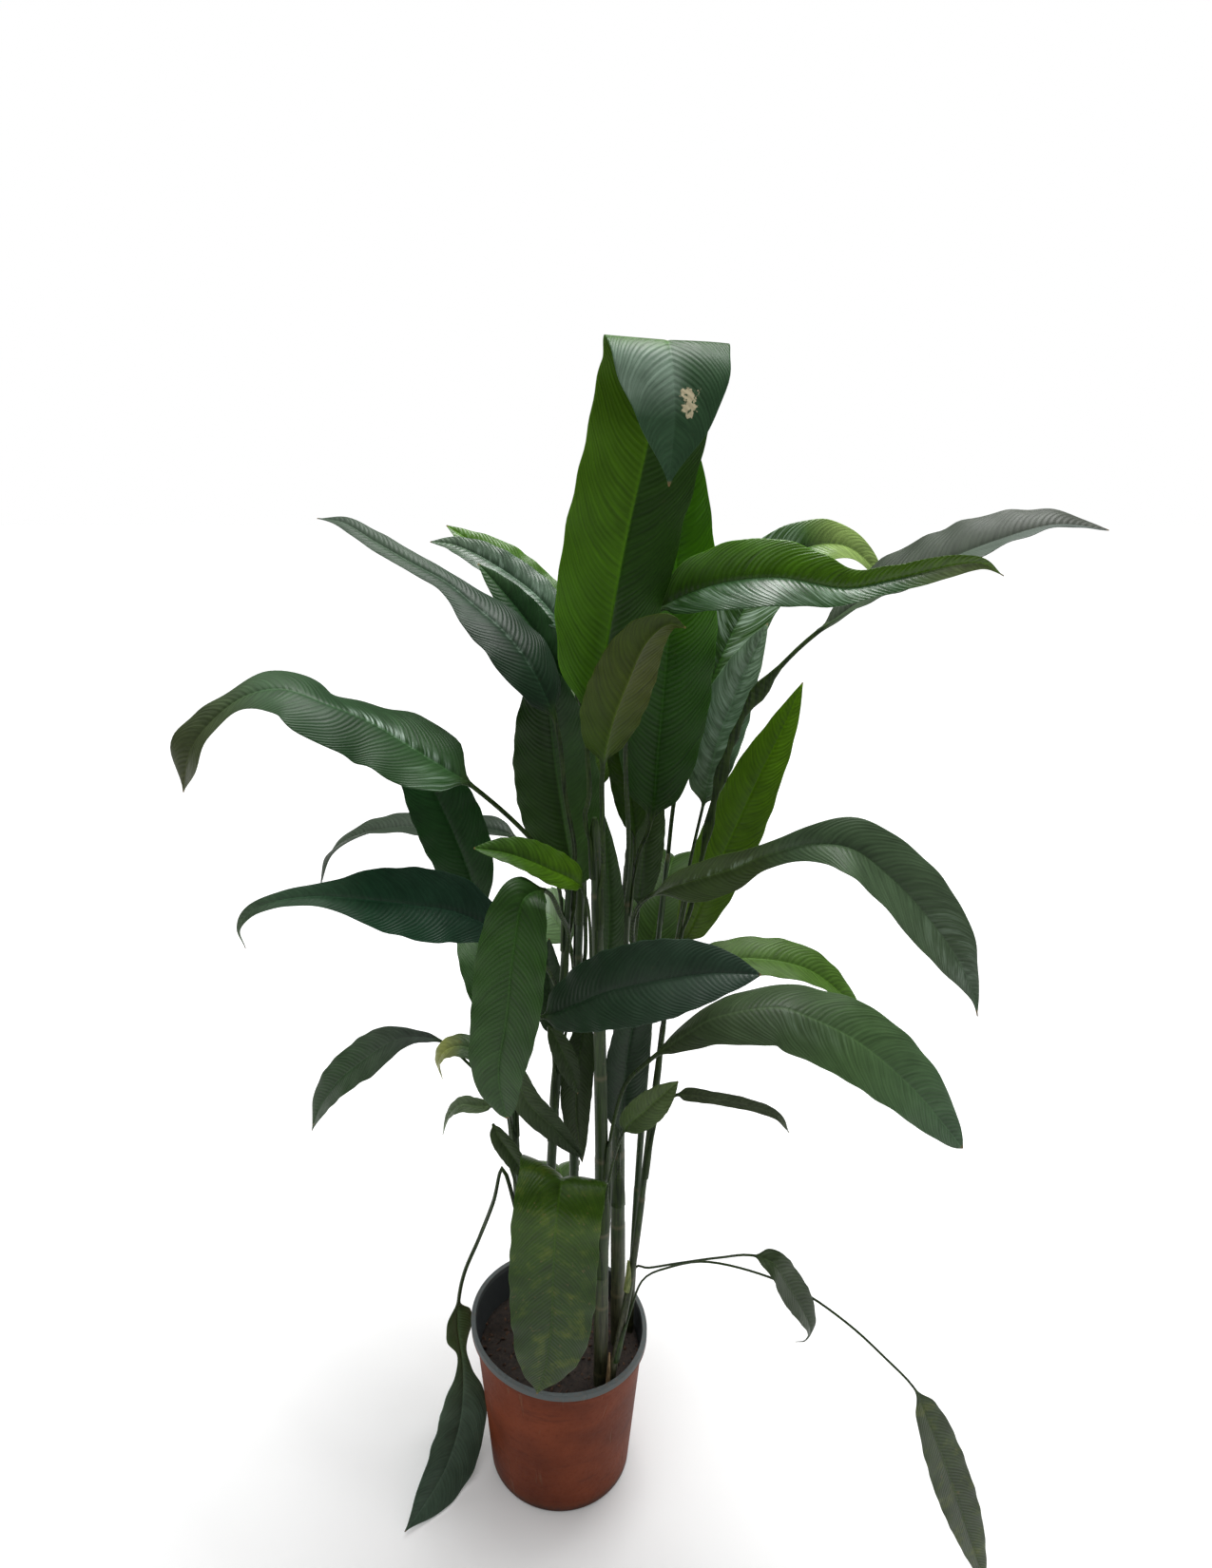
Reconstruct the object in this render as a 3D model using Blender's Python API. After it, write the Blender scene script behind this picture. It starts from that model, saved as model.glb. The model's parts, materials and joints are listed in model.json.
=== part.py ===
"""A potted heliconia: nursery pot, soil, nine leaning stems and the leaves that sheathe them.

Metres, +Z up. The origin is the middle of the pot's flat underside, +X is the plant's right
and -Y its front.
"""

import math

import bpy
import numpy as np

# Pot
POT_HEIGHT = 0.256
POT_BASE_RADIUS = 0.098
POT_TOP_RADIUS = 0.1145
POT_WALL = 0.0018
POT_FLOOR = 0.004
POT_CHAMFER = 0.0015
POT_SIDES = 40
RIM_HEIGHT = 0.014
RIM_OVERHANG = 0.0045
RIM_ROUND = 0.0012
RIM_TILT = 0.085  # rise of the soft pot's rim per metre towards -X
DRAIN_COUNT = 8
DRAIN_RADIUS = 0.005
DRAIN_CIRCLE = 0.070
DRAIN_SIDES = 10

# Soil
SOIL_TOP = 0.205
SOIL_MOUND = 0.010
SOIL_LUMP = 0.0022
SOIL_WAVES = ((97, 1.3, 83, 0.4, 1.0), (171, 0.0, 140, 1.6, 0.6))  # along x and y, and strength
SOIL_RINGS = (0.30, 0.62, 0.86)

# Stems
SEAT_GAP = 0.0003
STEM_FOOT = 0.165
STEM_GROUND = 0.235
STEM_STEP = 0.060
STEM_BEND_WEIGHT = 0.5
STEM_TIP = ((0.5, 0.80), (0.8, 0.35))  # a blunt tip: how far on and how thick, in radii
STEM_TAPER = 0.45
STEM_HOLE_SIDES = 16
STEM_SIDES = 8
THICK_STEM = 0.008
THICK_STEM_SIDES = 10
AXIS_REACH = 0.010
TAPER_POWER = 1.5

# Leaves
SHEATH_LENGTH = 0.045
SHEATH_SPAN = math.radians(130)
SHEATH_SPANS = (1.0, 0.85, 0.55)
BARE_SPANS = (1.0, 1.0, 0.72, 0.16)
FACET_ALLOWANCE = 0.0002
SHEATH_WALLS = (0.0009, 0.0016, 0.0022)
PETIOLE_START = 0.018
PETIOLE_STAND_OFF = 0.0012
PETIOLE_LEAN = 0.001
PETIOLE_RISE = 0.030  # how far a petiole follows its stem before it leaves it
PETIOLE_STEP = 0.080
PETIOLE_TURN = 0.8  # radians of bend that are worth one more ring
TIP_MARGIN = 0.004
THICK_PETIOLE = 0.0026
THIN_PETIOLE = 0.0019
WIRE_PETIOLE = 0.0014
WIDE_BLADE = 0.030
BLADE_THICKNESS = 0.0008
BLADE_BOW = 7
BLADE_WAVE = 4
LEFT_WAVE = (9.0, 1.0)  # radians from the base to the tip of a blade, and at its base
RIGHT_WAVE = (8.0, 2.6)
BLADE_PEAK = 0.42
BASE_CURVE = 2.4
BASE_POWER = 0.62
TIP_CURVE = 2.1
TIP_POWER = 0.95
BLADE_STATIONS = 8
SMALL_BLADE = 0.024
SMALL_STATIONS = 6
TIP_HALF_WIDTH = 0.0016
LEAF_BEND_WEIGHT = 0.07  # metres of leaf that a radian of bend counts as
ROUND_TO_FLAT = 0.08  # share of the blade over which the petiole flattens
RIB_TIP = 0.0011
RIB_TAPER = 0.8
SPAN_STEPS = 24

STEMS = {
    "stem_front": dict(
        radius=0.0095, foot=(0.055, -0.060),
        path=[(0.052, -0.055, 0.60), (0.045, -0.050, 0.87), (0.040, -0.048, 1.03)]),
    "stem_red": dict(
        radius=0.0100, foot=(0.080, 0.002),
        path=[(0.074, 0.004, 0.60), (0.075, 0.010, 0.80), (0.080, 0.015, 0.95)]),
    "stem_right": dict(
        radius=0.0050, foot=(0.069, -0.075),
        path=[(0.092, -0.045, 0.38), (0.112, -0.020, 0.60), (0.130, 0.000, 0.80), (0.148, 0.012, 0.92)]),
    "stem_right_back": dict(
        radius=0.0050, foot=(0.098, 0.025),
        path=[(0.104, 0.035, 0.50), (0.115, 0.050, 0.75), (0.128, 0.065, 0.93)]),
    "stem_left": dict(
        radius=0.0055, foot=(0.000, -0.055),
        path=[(-0.030, -0.045, 0.40), (-0.048, -0.035, 0.55), (-0.056, -0.028, 0.74)]),
    "stem_middle": dict(
        radius=0.0070, foot=(-0.015, 0.000),
        path=[(-0.010, 0.000, 0.50), (0.004, 0.000, 0.75), (0.014, 0.000, 0.93)]),
    "stem_back": dict(
        radius=0.0070, foot=(0.022, 0.055),
        path=[(0.020, 0.058, 0.50), (0.025, 0.060, 0.80), (0.031, 0.062, 1.00)]),
    "stem_left_back": dict(
        radius=0.0060, foot=(-0.048, 0.045),
        path=[(-0.056, 0.050, 0.45), (-0.060, 0.055, 0.70), (-0.058, 0.060, 0.79)]),
    "stem_far_back": dict(
        radius=0.0055, foot=(0.062, 0.080),
        path=[(0.074, 0.095, 0.50), (0.092, 0.105, 0.72)]),
}

# Each leaf: the stem it sheathes, the height where its sheath starts, the points its petiole and the
# midrib of its blade run through, the way the middle of the blade faces, its greatest half width, and
# the angle in degrees that its halves fold up. Lists of shares run from the base of the blade to its tip.
LEAVES = {
    "leaf_crown_folded": dict(
        stem="stem_front", at=0.96, toward=(-0.94, -0.34, 0), petiole=[(0.034, -0.062, 1.06)],
        blade=[(0.032, -0.056, 1.135), (0.045, -0.048, 1.190), (0.064, -0.032, 1.300),
               (0.086, -0.015, 1.400), (0.098, -0.006, 1.460), (0.101, -0.014, 1.484),
               (0.104, -0.034, 1.472), (0.107, -0.055, 1.428), (0.103, -0.066, 1.365)],
        face=(-0.2, 1, 0), width=0.057, left=(8, 8, 6, 3, 3, 3, 0), right=(12, 14, 10, 5, 0, 0, 0),
        widths=(.15, .7, .92, 1, 1, 1, 1, 1, .92, .55, 0), bow=0, wave=0, stations=14),
    "leaf_crown_back": dict(
        stem="stem_red", at=0.88, petiole=[],
        blade=[(0.103, 0.022, 0.99), (0.110, 0.030, 1.08), (0.116, 0.035, 1.18), (0.122, 0.038, 1.27),
               (0.127, 0.040, 1.35), (0.130, 0.040, 1.41)],
        face=(-0.1, -1, 0.1), width=0.050, cup=12),
    "leaf_olive": dict(
        stem="stem_front", at=0.90, toward=(0.65, -0.76, 0), petiole=[(0.048, -0.072, 1.02)],
        blade=[(0.047, -0.072, 1.10), (0.055, -0.074, 1.145), (0.068, -0.080, 1.185),
               (0.086, -0.088, 1.230), (0.105, -0.096, 1.248), (0.120, -0.102, 1.246)],
        face=(-0.2, 1, 0.2), width=0.034, cup=18),
    "leaf_right_glossy": dict(
        stem="stem_red", at=0.80, toward=(-0.5, -0.87, 0),
        petiole=[(0.078, -0.006, 0.97), (0.073, 0.003, 1.097), (0.081, 0.002, 1.188)],
        blade=[(0.100, -0.004, 1.233), (0.143, -0.028, 1.265), (0.206, -0.050, 1.280),
               (0.276, -0.050, 1.270), (0.319, -0.050, 1.278), (0.397, -0.050, 1.293),
               (0.421, -0.050, 1.281)],
        face=(0, -0.75, 0.65), width=0.038, cup=18, twist=(0, 45),
        widths=(.12, .7, .95, 1, .9, .7, .42, .35, .32, .2, 0)),
    "leaf_right_arched": dict(
        stem="stem_right_back", at=0.84, petiole=[(0.136, 0.085, 1.00)],
        blade=[(0.151, 0.100, 1.060), (0.172, 0.110, 1.120), (0.200, 0.130, 1.184), (0.233, 0.150, 1.234),
               (0.277, 0.160, 1.264), (0.322, 0.170, 1.264), (0.352, 0.170, 1.244), (0.372, 0.165, 1.214)],
        face=(-0.3, -0.8, 0.5), width=0.037, cup=18),
    "leaf_right_far": dict(
        stem="stem_right", at=0.82,
        petiole=[(0.178, 0.020, 1.055), (0.203, 0.020, 1.130), (0.240, 0.020, 1.180)],
        blade=[(0.268, 0.020, 1.208), (0.320, 0.020, 1.248), (0.373, 0.010, 1.278), (0.430, 0.000, 1.305),
               (0.480, -0.005, 1.320), (0.530, -0.010, 1.316)],
        face=(-0.4, 0, 0.9), width=0.040, left=(5, 5), right=(32, 28), base_power=1.2),
    "leaf_right_silver": dict(
        stem="stem_right", at=0.75, petiole=[(0.150, 0.035, 0.93)],
        blade=[(0.163, 0.045, 1.00), (0.174, 0.045, 1.07), (0.192, 0.050, 1.13), (0.208, 0.050, 1.175),
               (0.221, 0.050, 1.208)],
        face=(-0.5, -0.8, 0.2), width=0.030, cup=18),
    "leaf_right_upright": dict(
        stem="stem_far_back", at=0.63, petiole=[],
        blade=[(0.153, 0.094, 0.79), (0.181, 0.090, 0.875), (0.204, 0.090, 0.94), (0.230, 0.090, 1.013),
               (0.256, 0.095, 1.076), (0.274, 0.100, 1.127)],
        face=(-0.5, -0.8, 0.2), width=0.036, cup=10),
    "leaf_right_twisted": dict(
        stem="stem_red", at=0.74, toward=(1, -0.2, 0), petiole=[(0.086, -0.020, 0.90)],
        blade=[(0.100, -0.035, 0.93), (0.136, -0.050, 0.953), (0.180, -0.070, 0.980),
               (0.210, -0.080, 1.000), (0.254, -0.100, 1.025), (0.290, -0.110, 1.026),
               (0.327, -0.120, 1.002), (0.367, -0.130, 0.962), (0.403, -0.140, 0.915),
               (0.425, -0.142, 0.872), (0.428, -0.150, 0.855)],
        face=(0.1, -0.8, 0.6), width=0.038, left=(12, 20, 30, 14, 8), right=(12, 8, 8, 10, 12),
        twist=(90, 0), widths=(.3, .7, .6, .35, .44, .82, .95, .95, .8, .4, 0), stations=10),
    "leaf_front_dark": dict(
        stem="stem_left", at=0.66, toward=(-0.2, -1, 0),
        petiole=[(-0.048, -0.052, 0.785), (-0.030, -0.070, 0.800)],
        blade=[(-0.016, -0.080, 0.805), (0.020, -0.095, 0.832), (0.051, -0.110, 0.857),
               (0.106, -0.130, 0.885), (0.157, -0.140, 0.900), (0.205, -0.150, 0.905)],
        face=(-0.2, -0.75, 0.65), width=0.043, cup=12, peak=0.55),
    "leaf_right_light": dict(
        stem="stem_right", at=0.66, petiole=[(0.128, -0.018, 0.79)],
        blade=[(0.138, -0.022, 0.815), (0.174, -0.025, 0.840), (0.224, -0.030, 0.848),
               (0.278, -0.035, 0.838), (0.317, -0.040, 0.810), (0.352, -0.040, 0.768)],
        face=(0, -0.3, 0.95), width=0.028, cup=14),
    "leaf_right_broad": dict(
        stem="stem_front", at=0.56, petiole=[(0.078, -0.062, 0.70)],
        blade=[(0.105, -0.075, 0.745), (0.140, -0.090, 0.790), (0.168, -0.100, 0.818),
               (0.234, -0.110, 0.838), (0.265, -0.120, 0.833), (0.315, -0.130, 0.810),
               (0.377, -0.140, 0.757), (0.438, -0.150, 0.684)],
        face=(0.15, -0.6, 0.75), width=0.044, left=(0, -5, 0), right=(-15, -28, -28, -5, 12, 20),
        peak=0.55, base_power=1.1, tip_power=0.75),
    "leaf_right_narrow": dict(
        stem="stem_right", at=0.53, toward=(0.4, -0.9, 0), petiole=[(0.120, -0.050, 0.655)],
        blade=[(0.136, -0.076, 0.696), (0.173, -0.096, 0.708), (0.220, -0.105, 0.703),
               (0.244, -0.110, 0.694), (0.259, -0.110, 0.671)],
        face=(0, -0.6, 0.7), width=0.008, cup=10, widths=(.5, 1, 1, .9, .9, .9, .8, .8, .6, .4, 0)),
    "leaf_right_short": dict(
        stem="stem_front", at=0.475, toward=(0.5, -0.87, 0), petiole=[],
        blade=[(0.076, -0.084, 0.650), (0.097, -0.096, 0.688), (0.116, -0.102, 0.716),
               (0.133, -0.104, 0.737)],
        face=(0.1, -0.8, 0.6), width=0.019, cup=10, peak=0.5),
    "leaf_front_mottled": dict(
        stem="stem_front", at=0.40, petiole=[(0.030, -0.078, 0.530)],
        blade=[(0.012, -0.088, 0.570), (0.007, -0.106, 0.604), (0.005, -0.130, 0.616),
               (0.001, -0.150, 0.598), (-0.003, -0.156, 0.545), (-0.005, -0.158, 0.490),
               (-0.008, -0.157, 0.410), (-0.016, -0.152, 0.345), (-0.026, -0.148, 0.298)],
        face=(0, -1, 0.1), width=0.050, cup=8, widths=(.5, 1, 1, 1, 1, 1, .97, .9, .76, .48, 0),
        stations=10),
    "leaf_front_left": dict(
        stem="stem_middle", at=0.79, toward=(0.3, -0.95, 0), petiole=[(0.004, -0.048, 0.915)],
        blade=[(-0.011, -0.094, 0.970), (-0.031, -0.122, 0.976), (-0.042, -0.138, 0.927),
               (-0.050, -0.148, 0.854), (-0.060, -0.150, 0.782), (-0.053, -0.145, 0.720)],
        face=(-0.2, -1, 0.15), width=0.037, cup=10, peak=0.45, tip_power=0.65),
    "leaf_left_folded": dict(
        stem="stem_front", at=0.78, petiole=[],
        blade=[(0.027, -0.066, 0.957), (-0.009, -0.076, 0.986), (-0.048, -0.084, 1.007),
               (-0.082, -0.090, 1.016)],
        face=(0, -0.5, 0.85), width=0.023, cup=20),
    "leaf_left_arm": dict(
        stem="stem_middle", at=0.84, toward=(-1, -0.1, 0),
        petiole=[(-0.005, -0.012, 0.95), (-0.029, -0.020, 0.994)],
        blade=[(-0.086, -0.030, 1.057), (-0.140, -0.035, 1.099), (-0.184, -0.040, 1.132),
               (-0.223, -0.050, 1.154), (-0.265, -0.050, 1.170), (-0.299, -0.055, 1.166),
               (-0.333, -0.060, 1.144), (-0.360, -0.065, 1.112), (-0.374, -0.065, 1.066)],
        face=(0.2, -0.6, 0.8), width=0.052, left=(5, -20, -42, -22, 0, 10),
        right=(16, 14, 6, 10, 20, 10), widths=(.15, .75, 1, 1, .95, .85, .6, .32, .42, .52, 0),
        stations=10),
    "leaf_left_dark": dict(
        stem="stem_left_back", at=0.72, petiole=[],
        blade=[(-0.088, 0.062, 0.850), (-0.110, 0.068, 0.925), (-0.136, 0.078, 0.990),
               (-0.164, 0.090, 1.045), (-0.188, 0.100, 1.075)],
        face=(0.3, -0.9, 0.3), width=0.040, cup=12, peak=0.5, base_power=1.0),
    "leaf_left_grey": dict(
        stem="stem_back", at=0.78, petiole=[(-0.005, 0.085, 0.90)],
        blade=[(-0.045, 0.100, 0.930), (-0.076, 0.110, 0.940), (-0.138, 0.130, 0.932),
               (-0.200, 0.150, 0.924), (-0.253, 0.170, 0.901), (-0.290, 0.180, 0.870),
               (-0.308, 0.180, 0.825)],
        face=(0, -0.1, 1), width=0.028, cup=14),
    "leaf_left_long": dict(
        stem="stem_middle", at=0.72, petiole=[(-0.018, -0.022, 0.84)],
        blade=[(-0.050, -0.036, 0.878), (-0.107, -0.050, 0.919), (-0.154, -0.070, 0.939),
               (-0.199, -0.090, 0.957), (-0.242, -0.110, 0.972), (-0.278, -0.120, 0.972),
               (-0.306, -0.120, 0.959), (-0.319, -0.120, 0.939), (-0.315, -0.120, 0.917)],
        face=(0.1, -0.7, 0.7), width=0.040, cup=14, widths=(.1, .7, 1, 1, .8, .38, .22, .15, 0)),
    "leaf_left_bitten": dict(
        stem="stem_left_back", at=0.50, petiole=[(-0.078, 0.052, 0.592), (-0.112, 0.052, 0.640)],
        blade=[(-0.144, 0.055, 0.672), (-0.175, 0.062, 0.675), (-0.207, 0.068, 0.665),
               (-0.246, 0.076, 0.632), (-0.288, 0.084, 0.588), (-0.317, 0.090, 0.541),
               (-0.331, 0.090, 0.502)],
        face=(0.3, -0.4, 0.85), width=0.028, cup=10, widths=(.2, .3, .7, 1, 1, .95, .8, .5, 0)),
    "leaf_left_yellow_tip": dict(
        stem="stem_left", at=0.60, toward=(-0.75, 0.66, 0), petiole=[],
        blade=[(-0.080, -0.022, 0.706), (-0.093, -0.022, 0.716), (-0.115, -0.020, 0.722),
               (-0.132, -0.020, 0.715), (-0.140, -0.020, 0.698), (-0.137, -0.020, 0.674)],
        face=(-0.3, -0.3, 0.9), width=0.016, cup=10, peak=0.3),
    "leaf_left_claw": dict(
        stem="stem_left", at=0.55, toward=(-0.4, -0.9, 0), petiole=[(-0.058, -0.058, 0.655)],
        blade=[(-0.074, -0.076, 0.680), (-0.092, -0.084, 0.687), (-0.106, -0.084, 0.689),
               (-0.118, -0.080, 0.678), (-0.127, -0.080, 0.661), (-0.132, -0.080, 0.642)],
        face=(-0.3, -0.3, 0.9), width=0.011, cup=10, tip_power=1.5),
    "leaf_left_small": dict(
        stem="stem_left", at=0.45, toward=(-0.35, -0.95, 0), petiole=[(-0.066, -0.056, 0.610)],
        blade=[(-0.074, -0.070, 0.648), (-0.068, -0.080, 0.640), (-0.050, -0.086, 0.612),
               (-0.033, -0.088, 0.578)],
        face=(0, -1, 0.3), width=0.012, cup=10),
    "leaf_middle_diagonal": dict(
        stem="stem_left", at=0.60, toward=(1, 0, 0), petiole=[(-0.041, -0.046, 0.680)],
        blade=[(-0.048, -0.066, 0.735), (-0.036, -0.076, 0.690), (-0.005, -0.080, 0.652),
               (0.030, -0.084, 0.610)],
        face=(0.3, -1, 0.3), width=0.016, cup=10),
    "leaf_middle_short": dict(
        stem="stem_middle", at=0.62, petiole=[],
        blade=[(-0.010, -0.022, 0.750), (0.007, -0.032, 0.720), (0.024, -0.036, 0.665)],
        face=(0.3, -1, 0.3), width=0.013, cup=10),
    "leaf_middle_hanging": dict(
        stem="stem_back", at=0.62, petiole=[],
        blade=[(0.034, 0.030, 0.730), (0.026, 0.018, 0.680), (0.022, 0.012, 0.600), (0.030, 0.010, 0.520)],
        face=(0, -1, 0.1), width=0.020, cup=10),
    "leaf_back_pale": dict(
        stem="stem_back", at=0.60, petiole=[],
        blade=[(0.015, 0.105, 0.780), (-0.005, 0.135, 0.800), (-0.020, 0.170, 0.790),
               (-0.030, 0.210, 0.750), (-0.035, 0.240, 0.700)],
        face=(-0.3, -0.6, 0.7), width=0.036, cup=12),
    "leaf_middle_dark": dict(
        stem="stem_middle", at=0.56, petiole=[],
        blade=[(-0.005, 0.028, 0.700), (-0.008, 0.038, 0.750), (-0.012, 0.046, 0.790),
               (-0.010, 0.050, 0.825)],
        face=(0, -1, 0.3), width=0.020, cup=10),
    "leaf_middle_wide": dict(
        stem="stem_red", at=0.46, petiole=[],
        blade=[(0.076, -0.026, 0.600), (0.078, -0.030, 0.660), (0.082, -0.032, 0.720),
               (0.090, -0.032, 0.780), (0.100, -0.030, 0.830)],
        face=(0, -1, 0.1), width=0.026, cup=12),
    "leaf_upper_left_long": dict(
        stem="stem_middle", at=0.888, toward=(0.5, 0.87, 0), petiole=[(0.010, 0.002, 1.03)],
        blade=[(0.000, 0.002, 1.115), (-0.024, 0.010, 1.172), (-0.053, 0.028, 1.206),
               (-0.083, 0.045, 1.228), (-0.113, 0.060, 1.249), (-0.148, 0.070, 1.266),
               (-0.189, 0.085, 1.286), (-0.224, 0.100, 1.303), (-0.253, 0.112, 1.305)],
        face=(0.3, -0.7, 0.7), width=0.036, left=(-20, -15, 0), right=(14, 14, 14),
        widths=(.15, .7, 1, 1, .9, .52, .42, .4, .36, .25, 0)),
    "leaf_upper_left_ragged": dict(
        stem="stem_back", at=0.94, petiole=[(0.022, 0.062, 1.12)],
        blade=[(0.010, 0.076, 1.188), (-0.015, 0.096, 1.220), (-0.043, 0.112, 1.240),
               (-0.085, 0.126, 1.263), (-0.115, 0.136, 1.273), (-0.138, 0.138, 1.275)],
        face=(0.3, -0.7, 0.6), width=0.022, cup=10),
    "leaf_upper_left_light": dict(
        stem="stem_back", at=0.88, petiole=[(0.032, 0.085, 1.04)],
        blade=[(0.020, 0.118, 1.136), (0.004, 0.144, 1.184), (-0.032, 0.166, 1.218),
               (-0.063, 0.180, 1.243), (-0.094, 0.190, 1.262), (-0.126, 0.200, 1.281)],
        face=(0.2, -0.6, 0.7), width=0.030, cup=10),
    "leaf_upper_left_low": dict(
        stem="stem_back", at=0.84, toward=(-0.5, -0.87, 0), petiole=[(0.010, 0.054, 1.00)],
        blade=[(0.006, 0.055, 1.120), (0.000, 0.060, 1.160), (-0.026, 0.072, 1.198),
               (-0.056, 0.084, 1.233), (-0.083, 0.094, 1.261)],
        face=(0.2, -0.8, 0.5), width=0.022, cup=10),
    "leaf_centre_left_tall": dict(
        stem="stem_middle", at=0.77, petiole=[],
        blade=[(0.020, 0.026, 0.900), (0.010, 0.034, 0.970), (0.000, 0.036, 1.040), (-0.006, 0.036, 1.100),
               (-0.012, 0.036, 1.170)],
        face=(0, -1, 0.1), width=0.047, cup=10, peak=0.5, tip_power=0.7),
    "leaf_centre_dark": dict(
        stem="stem_red", at=0.70, toward=(-0.2, 1, 0), petiole=[(0.084, 0.035, 0.87)],
        blade=[(0.088, 0.050, 0.960), (0.080, 0.060, 1.020), (0.070, 0.070, 1.080), (0.060, 0.080, 1.130)],
        face=(0, -1, 0.1), width=0.020, cup=10),
    "leaf_centre_upright": dict(
        stem="stem_middle", at=0.67, toward=(1, -0.3, 0), petiole=[],
        blade=[(0.044, -0.024, 0.790), (0.056, -0.029, 0.850), (0.058, -0.030, 0.910),
               (0.054, -0.030, 0.975), (0.047, -0.030, 1.035)],
        face=(0.1, -1, 0.1), width=0.016, cup=10),
    "leaf_centre_right": dict(
        stem="stem_far_back", at=0.575, toward=(-0.3, -0.95, 0), petiole=[(0.090, 0.070, 0.76)],
        blade=[(0.096, 0.068, 0.860), (0.099, 0.066, 0.915), (0.105, 0.066, 0.975), (0.112, 0.066, 1.036)],
        face=(0, -1, 0.1), width=0.022, cup=10),
    "leaf_floor_left": dict(
        stem="stem_left", at=0.39,
        petiole=[(-0.068, -0.028, 0.545), (-0.082, -0.016, 0.480), (-0.104, 0.002, 0.400),
                 (-0.128, 0.018, 0.320)],
        blade=[(-0.139, 0.028, 0.258), (-0.143, 0.036, 0.190), (-0.139, 0.036, 0.115),
               (-0.142, 0.006, 0.052), (-0.156, -0.045, 0.030), (-0.176, -0.086, 0.020),
               (-0.207, -0.132, 0.010)],
        face=(0.6, -0.75, 0.4), width=0.040, cup=8,
        widths=(.2, .52, .5, .2, .36, .85, 1, 1, .85, .5, 0), stations=10),
    "leaf_pot_right": dict(
        stem="stem_right", at=0.315, toward=(0.5, 0.87, 0),
        petiole=[(0.112, -0.068, 0.422), (0.145, -0.102, 0.466), (0.185, -0.145, 0.520)],
        blade=[(0.216, -0.182, 0.562), (0.235, -0.190, 0.561), (0.256, -0.190, 0.526),
               (0.277, -0.190, 0.486), (0.286, -0.190, 0.457), (0.281, -0.191, 0.441),
               (0.270, -0.192, 0.440)],
        face=(0.6, -0.6, 0.5), width=0.019, cup=10, tip_power=1.4, petiole_radius=WIRE_PETIOLE, stations=8),
    "leaf_far_right_low": dict(
        stem="stem_right", at=0.262, toward=(0.7, -0.7, 0),
        petiole=[(0.107, -0.066, 0.402), (0.137, -0.080, 0.436), (0.175, -0.096, 0.462),
                 (0.229, -0.122, 0.474), (0.283, -0.148, 0.470), (0.333, -0.175, 0.449),
                 (0.376, -0.190, 0.412)],
        blade=[(0.411, -0.200, 0.375), (0.434, -0.205, 0.325), (0.472, -0.210, 0.225),
               (0.507, -0.210, 0.130), (0.532, -0.210, 0.060), (0.544, -0.210, 0.025)],
        face=(0.3, -0.9, 0.3), width=0.025, cup=10, petiole_radius=WIRE_PETIOLE, stations=8),
    "leaf_back_high": dict(
        stem="stem_back", at=0.72, toward=(0.8, 0.6, 0), petiole=[(0.032, 0.105, 0.90)],
        blade=[(0.035, 0.130, 0.970), (0.040, 0.180, 1.050), (0.045, 0.240, 1.080), (0.050, 0.300, 1.060),
               (0.050, 0.340, 1.000)],
        face=(0, -0.1, 1), width=0.045, cup=14),
    "leaf_back_right": dict(
        stem="stem_far_back", at=0.52, petiole=[],
        blade=[(0.112, 0.150, 0.710), (0.135, 0.200, 0.790), (0.155, 0.270, 0.820), (0.165, 0.330, 0.780),
               (0.170, 0.360, 0.720)],
        face=(0, -0.1, 1), width=0.042, cup=14),
    "leaf_back_left": dict(
        stem="stem_left_back", at=0.44, toward=(0.3, 0.95, 0), petiole=[],
        blade=[(-0.080, 0.125, 0.640), (-0.095, 0.180, 0.710), (-0.105, 0.240, 0.730),
               (-0.110, 0.290, 0.690), (-0.110, 0.320, 0.630)],
        face=(0, -0.1, 1), width=0.040, cup=14),
    "leaf_back_low": dict(
        stem="stem_back", at=0.24, petiole=[],
        blade=[(0.005, 0.115, 0.380), (0.000, 0.150, 0.385), (-0.005, 0.195, 0.340),
               (-0.010, 0.225, 0.265), (-0.010, 0.240, 0.190)],
        face=(0, 0.9, 0.4), width=0.034, cup=12),
}

# Two short sheaths without a blade: where they start and end on their stem, and the way they face.
BARE_SHEATHS = {
    "dried_sheath": dict(stem="stem_right", at=0.222, length=0.050, toward=(-1, -0.05, 0), wall=0.0016),
    "green_stub": dict(stem="stem_right", at=0.362, length=0.046, toward=(-0.87, -0.5, 0), wall=0.0016),
}

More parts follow.
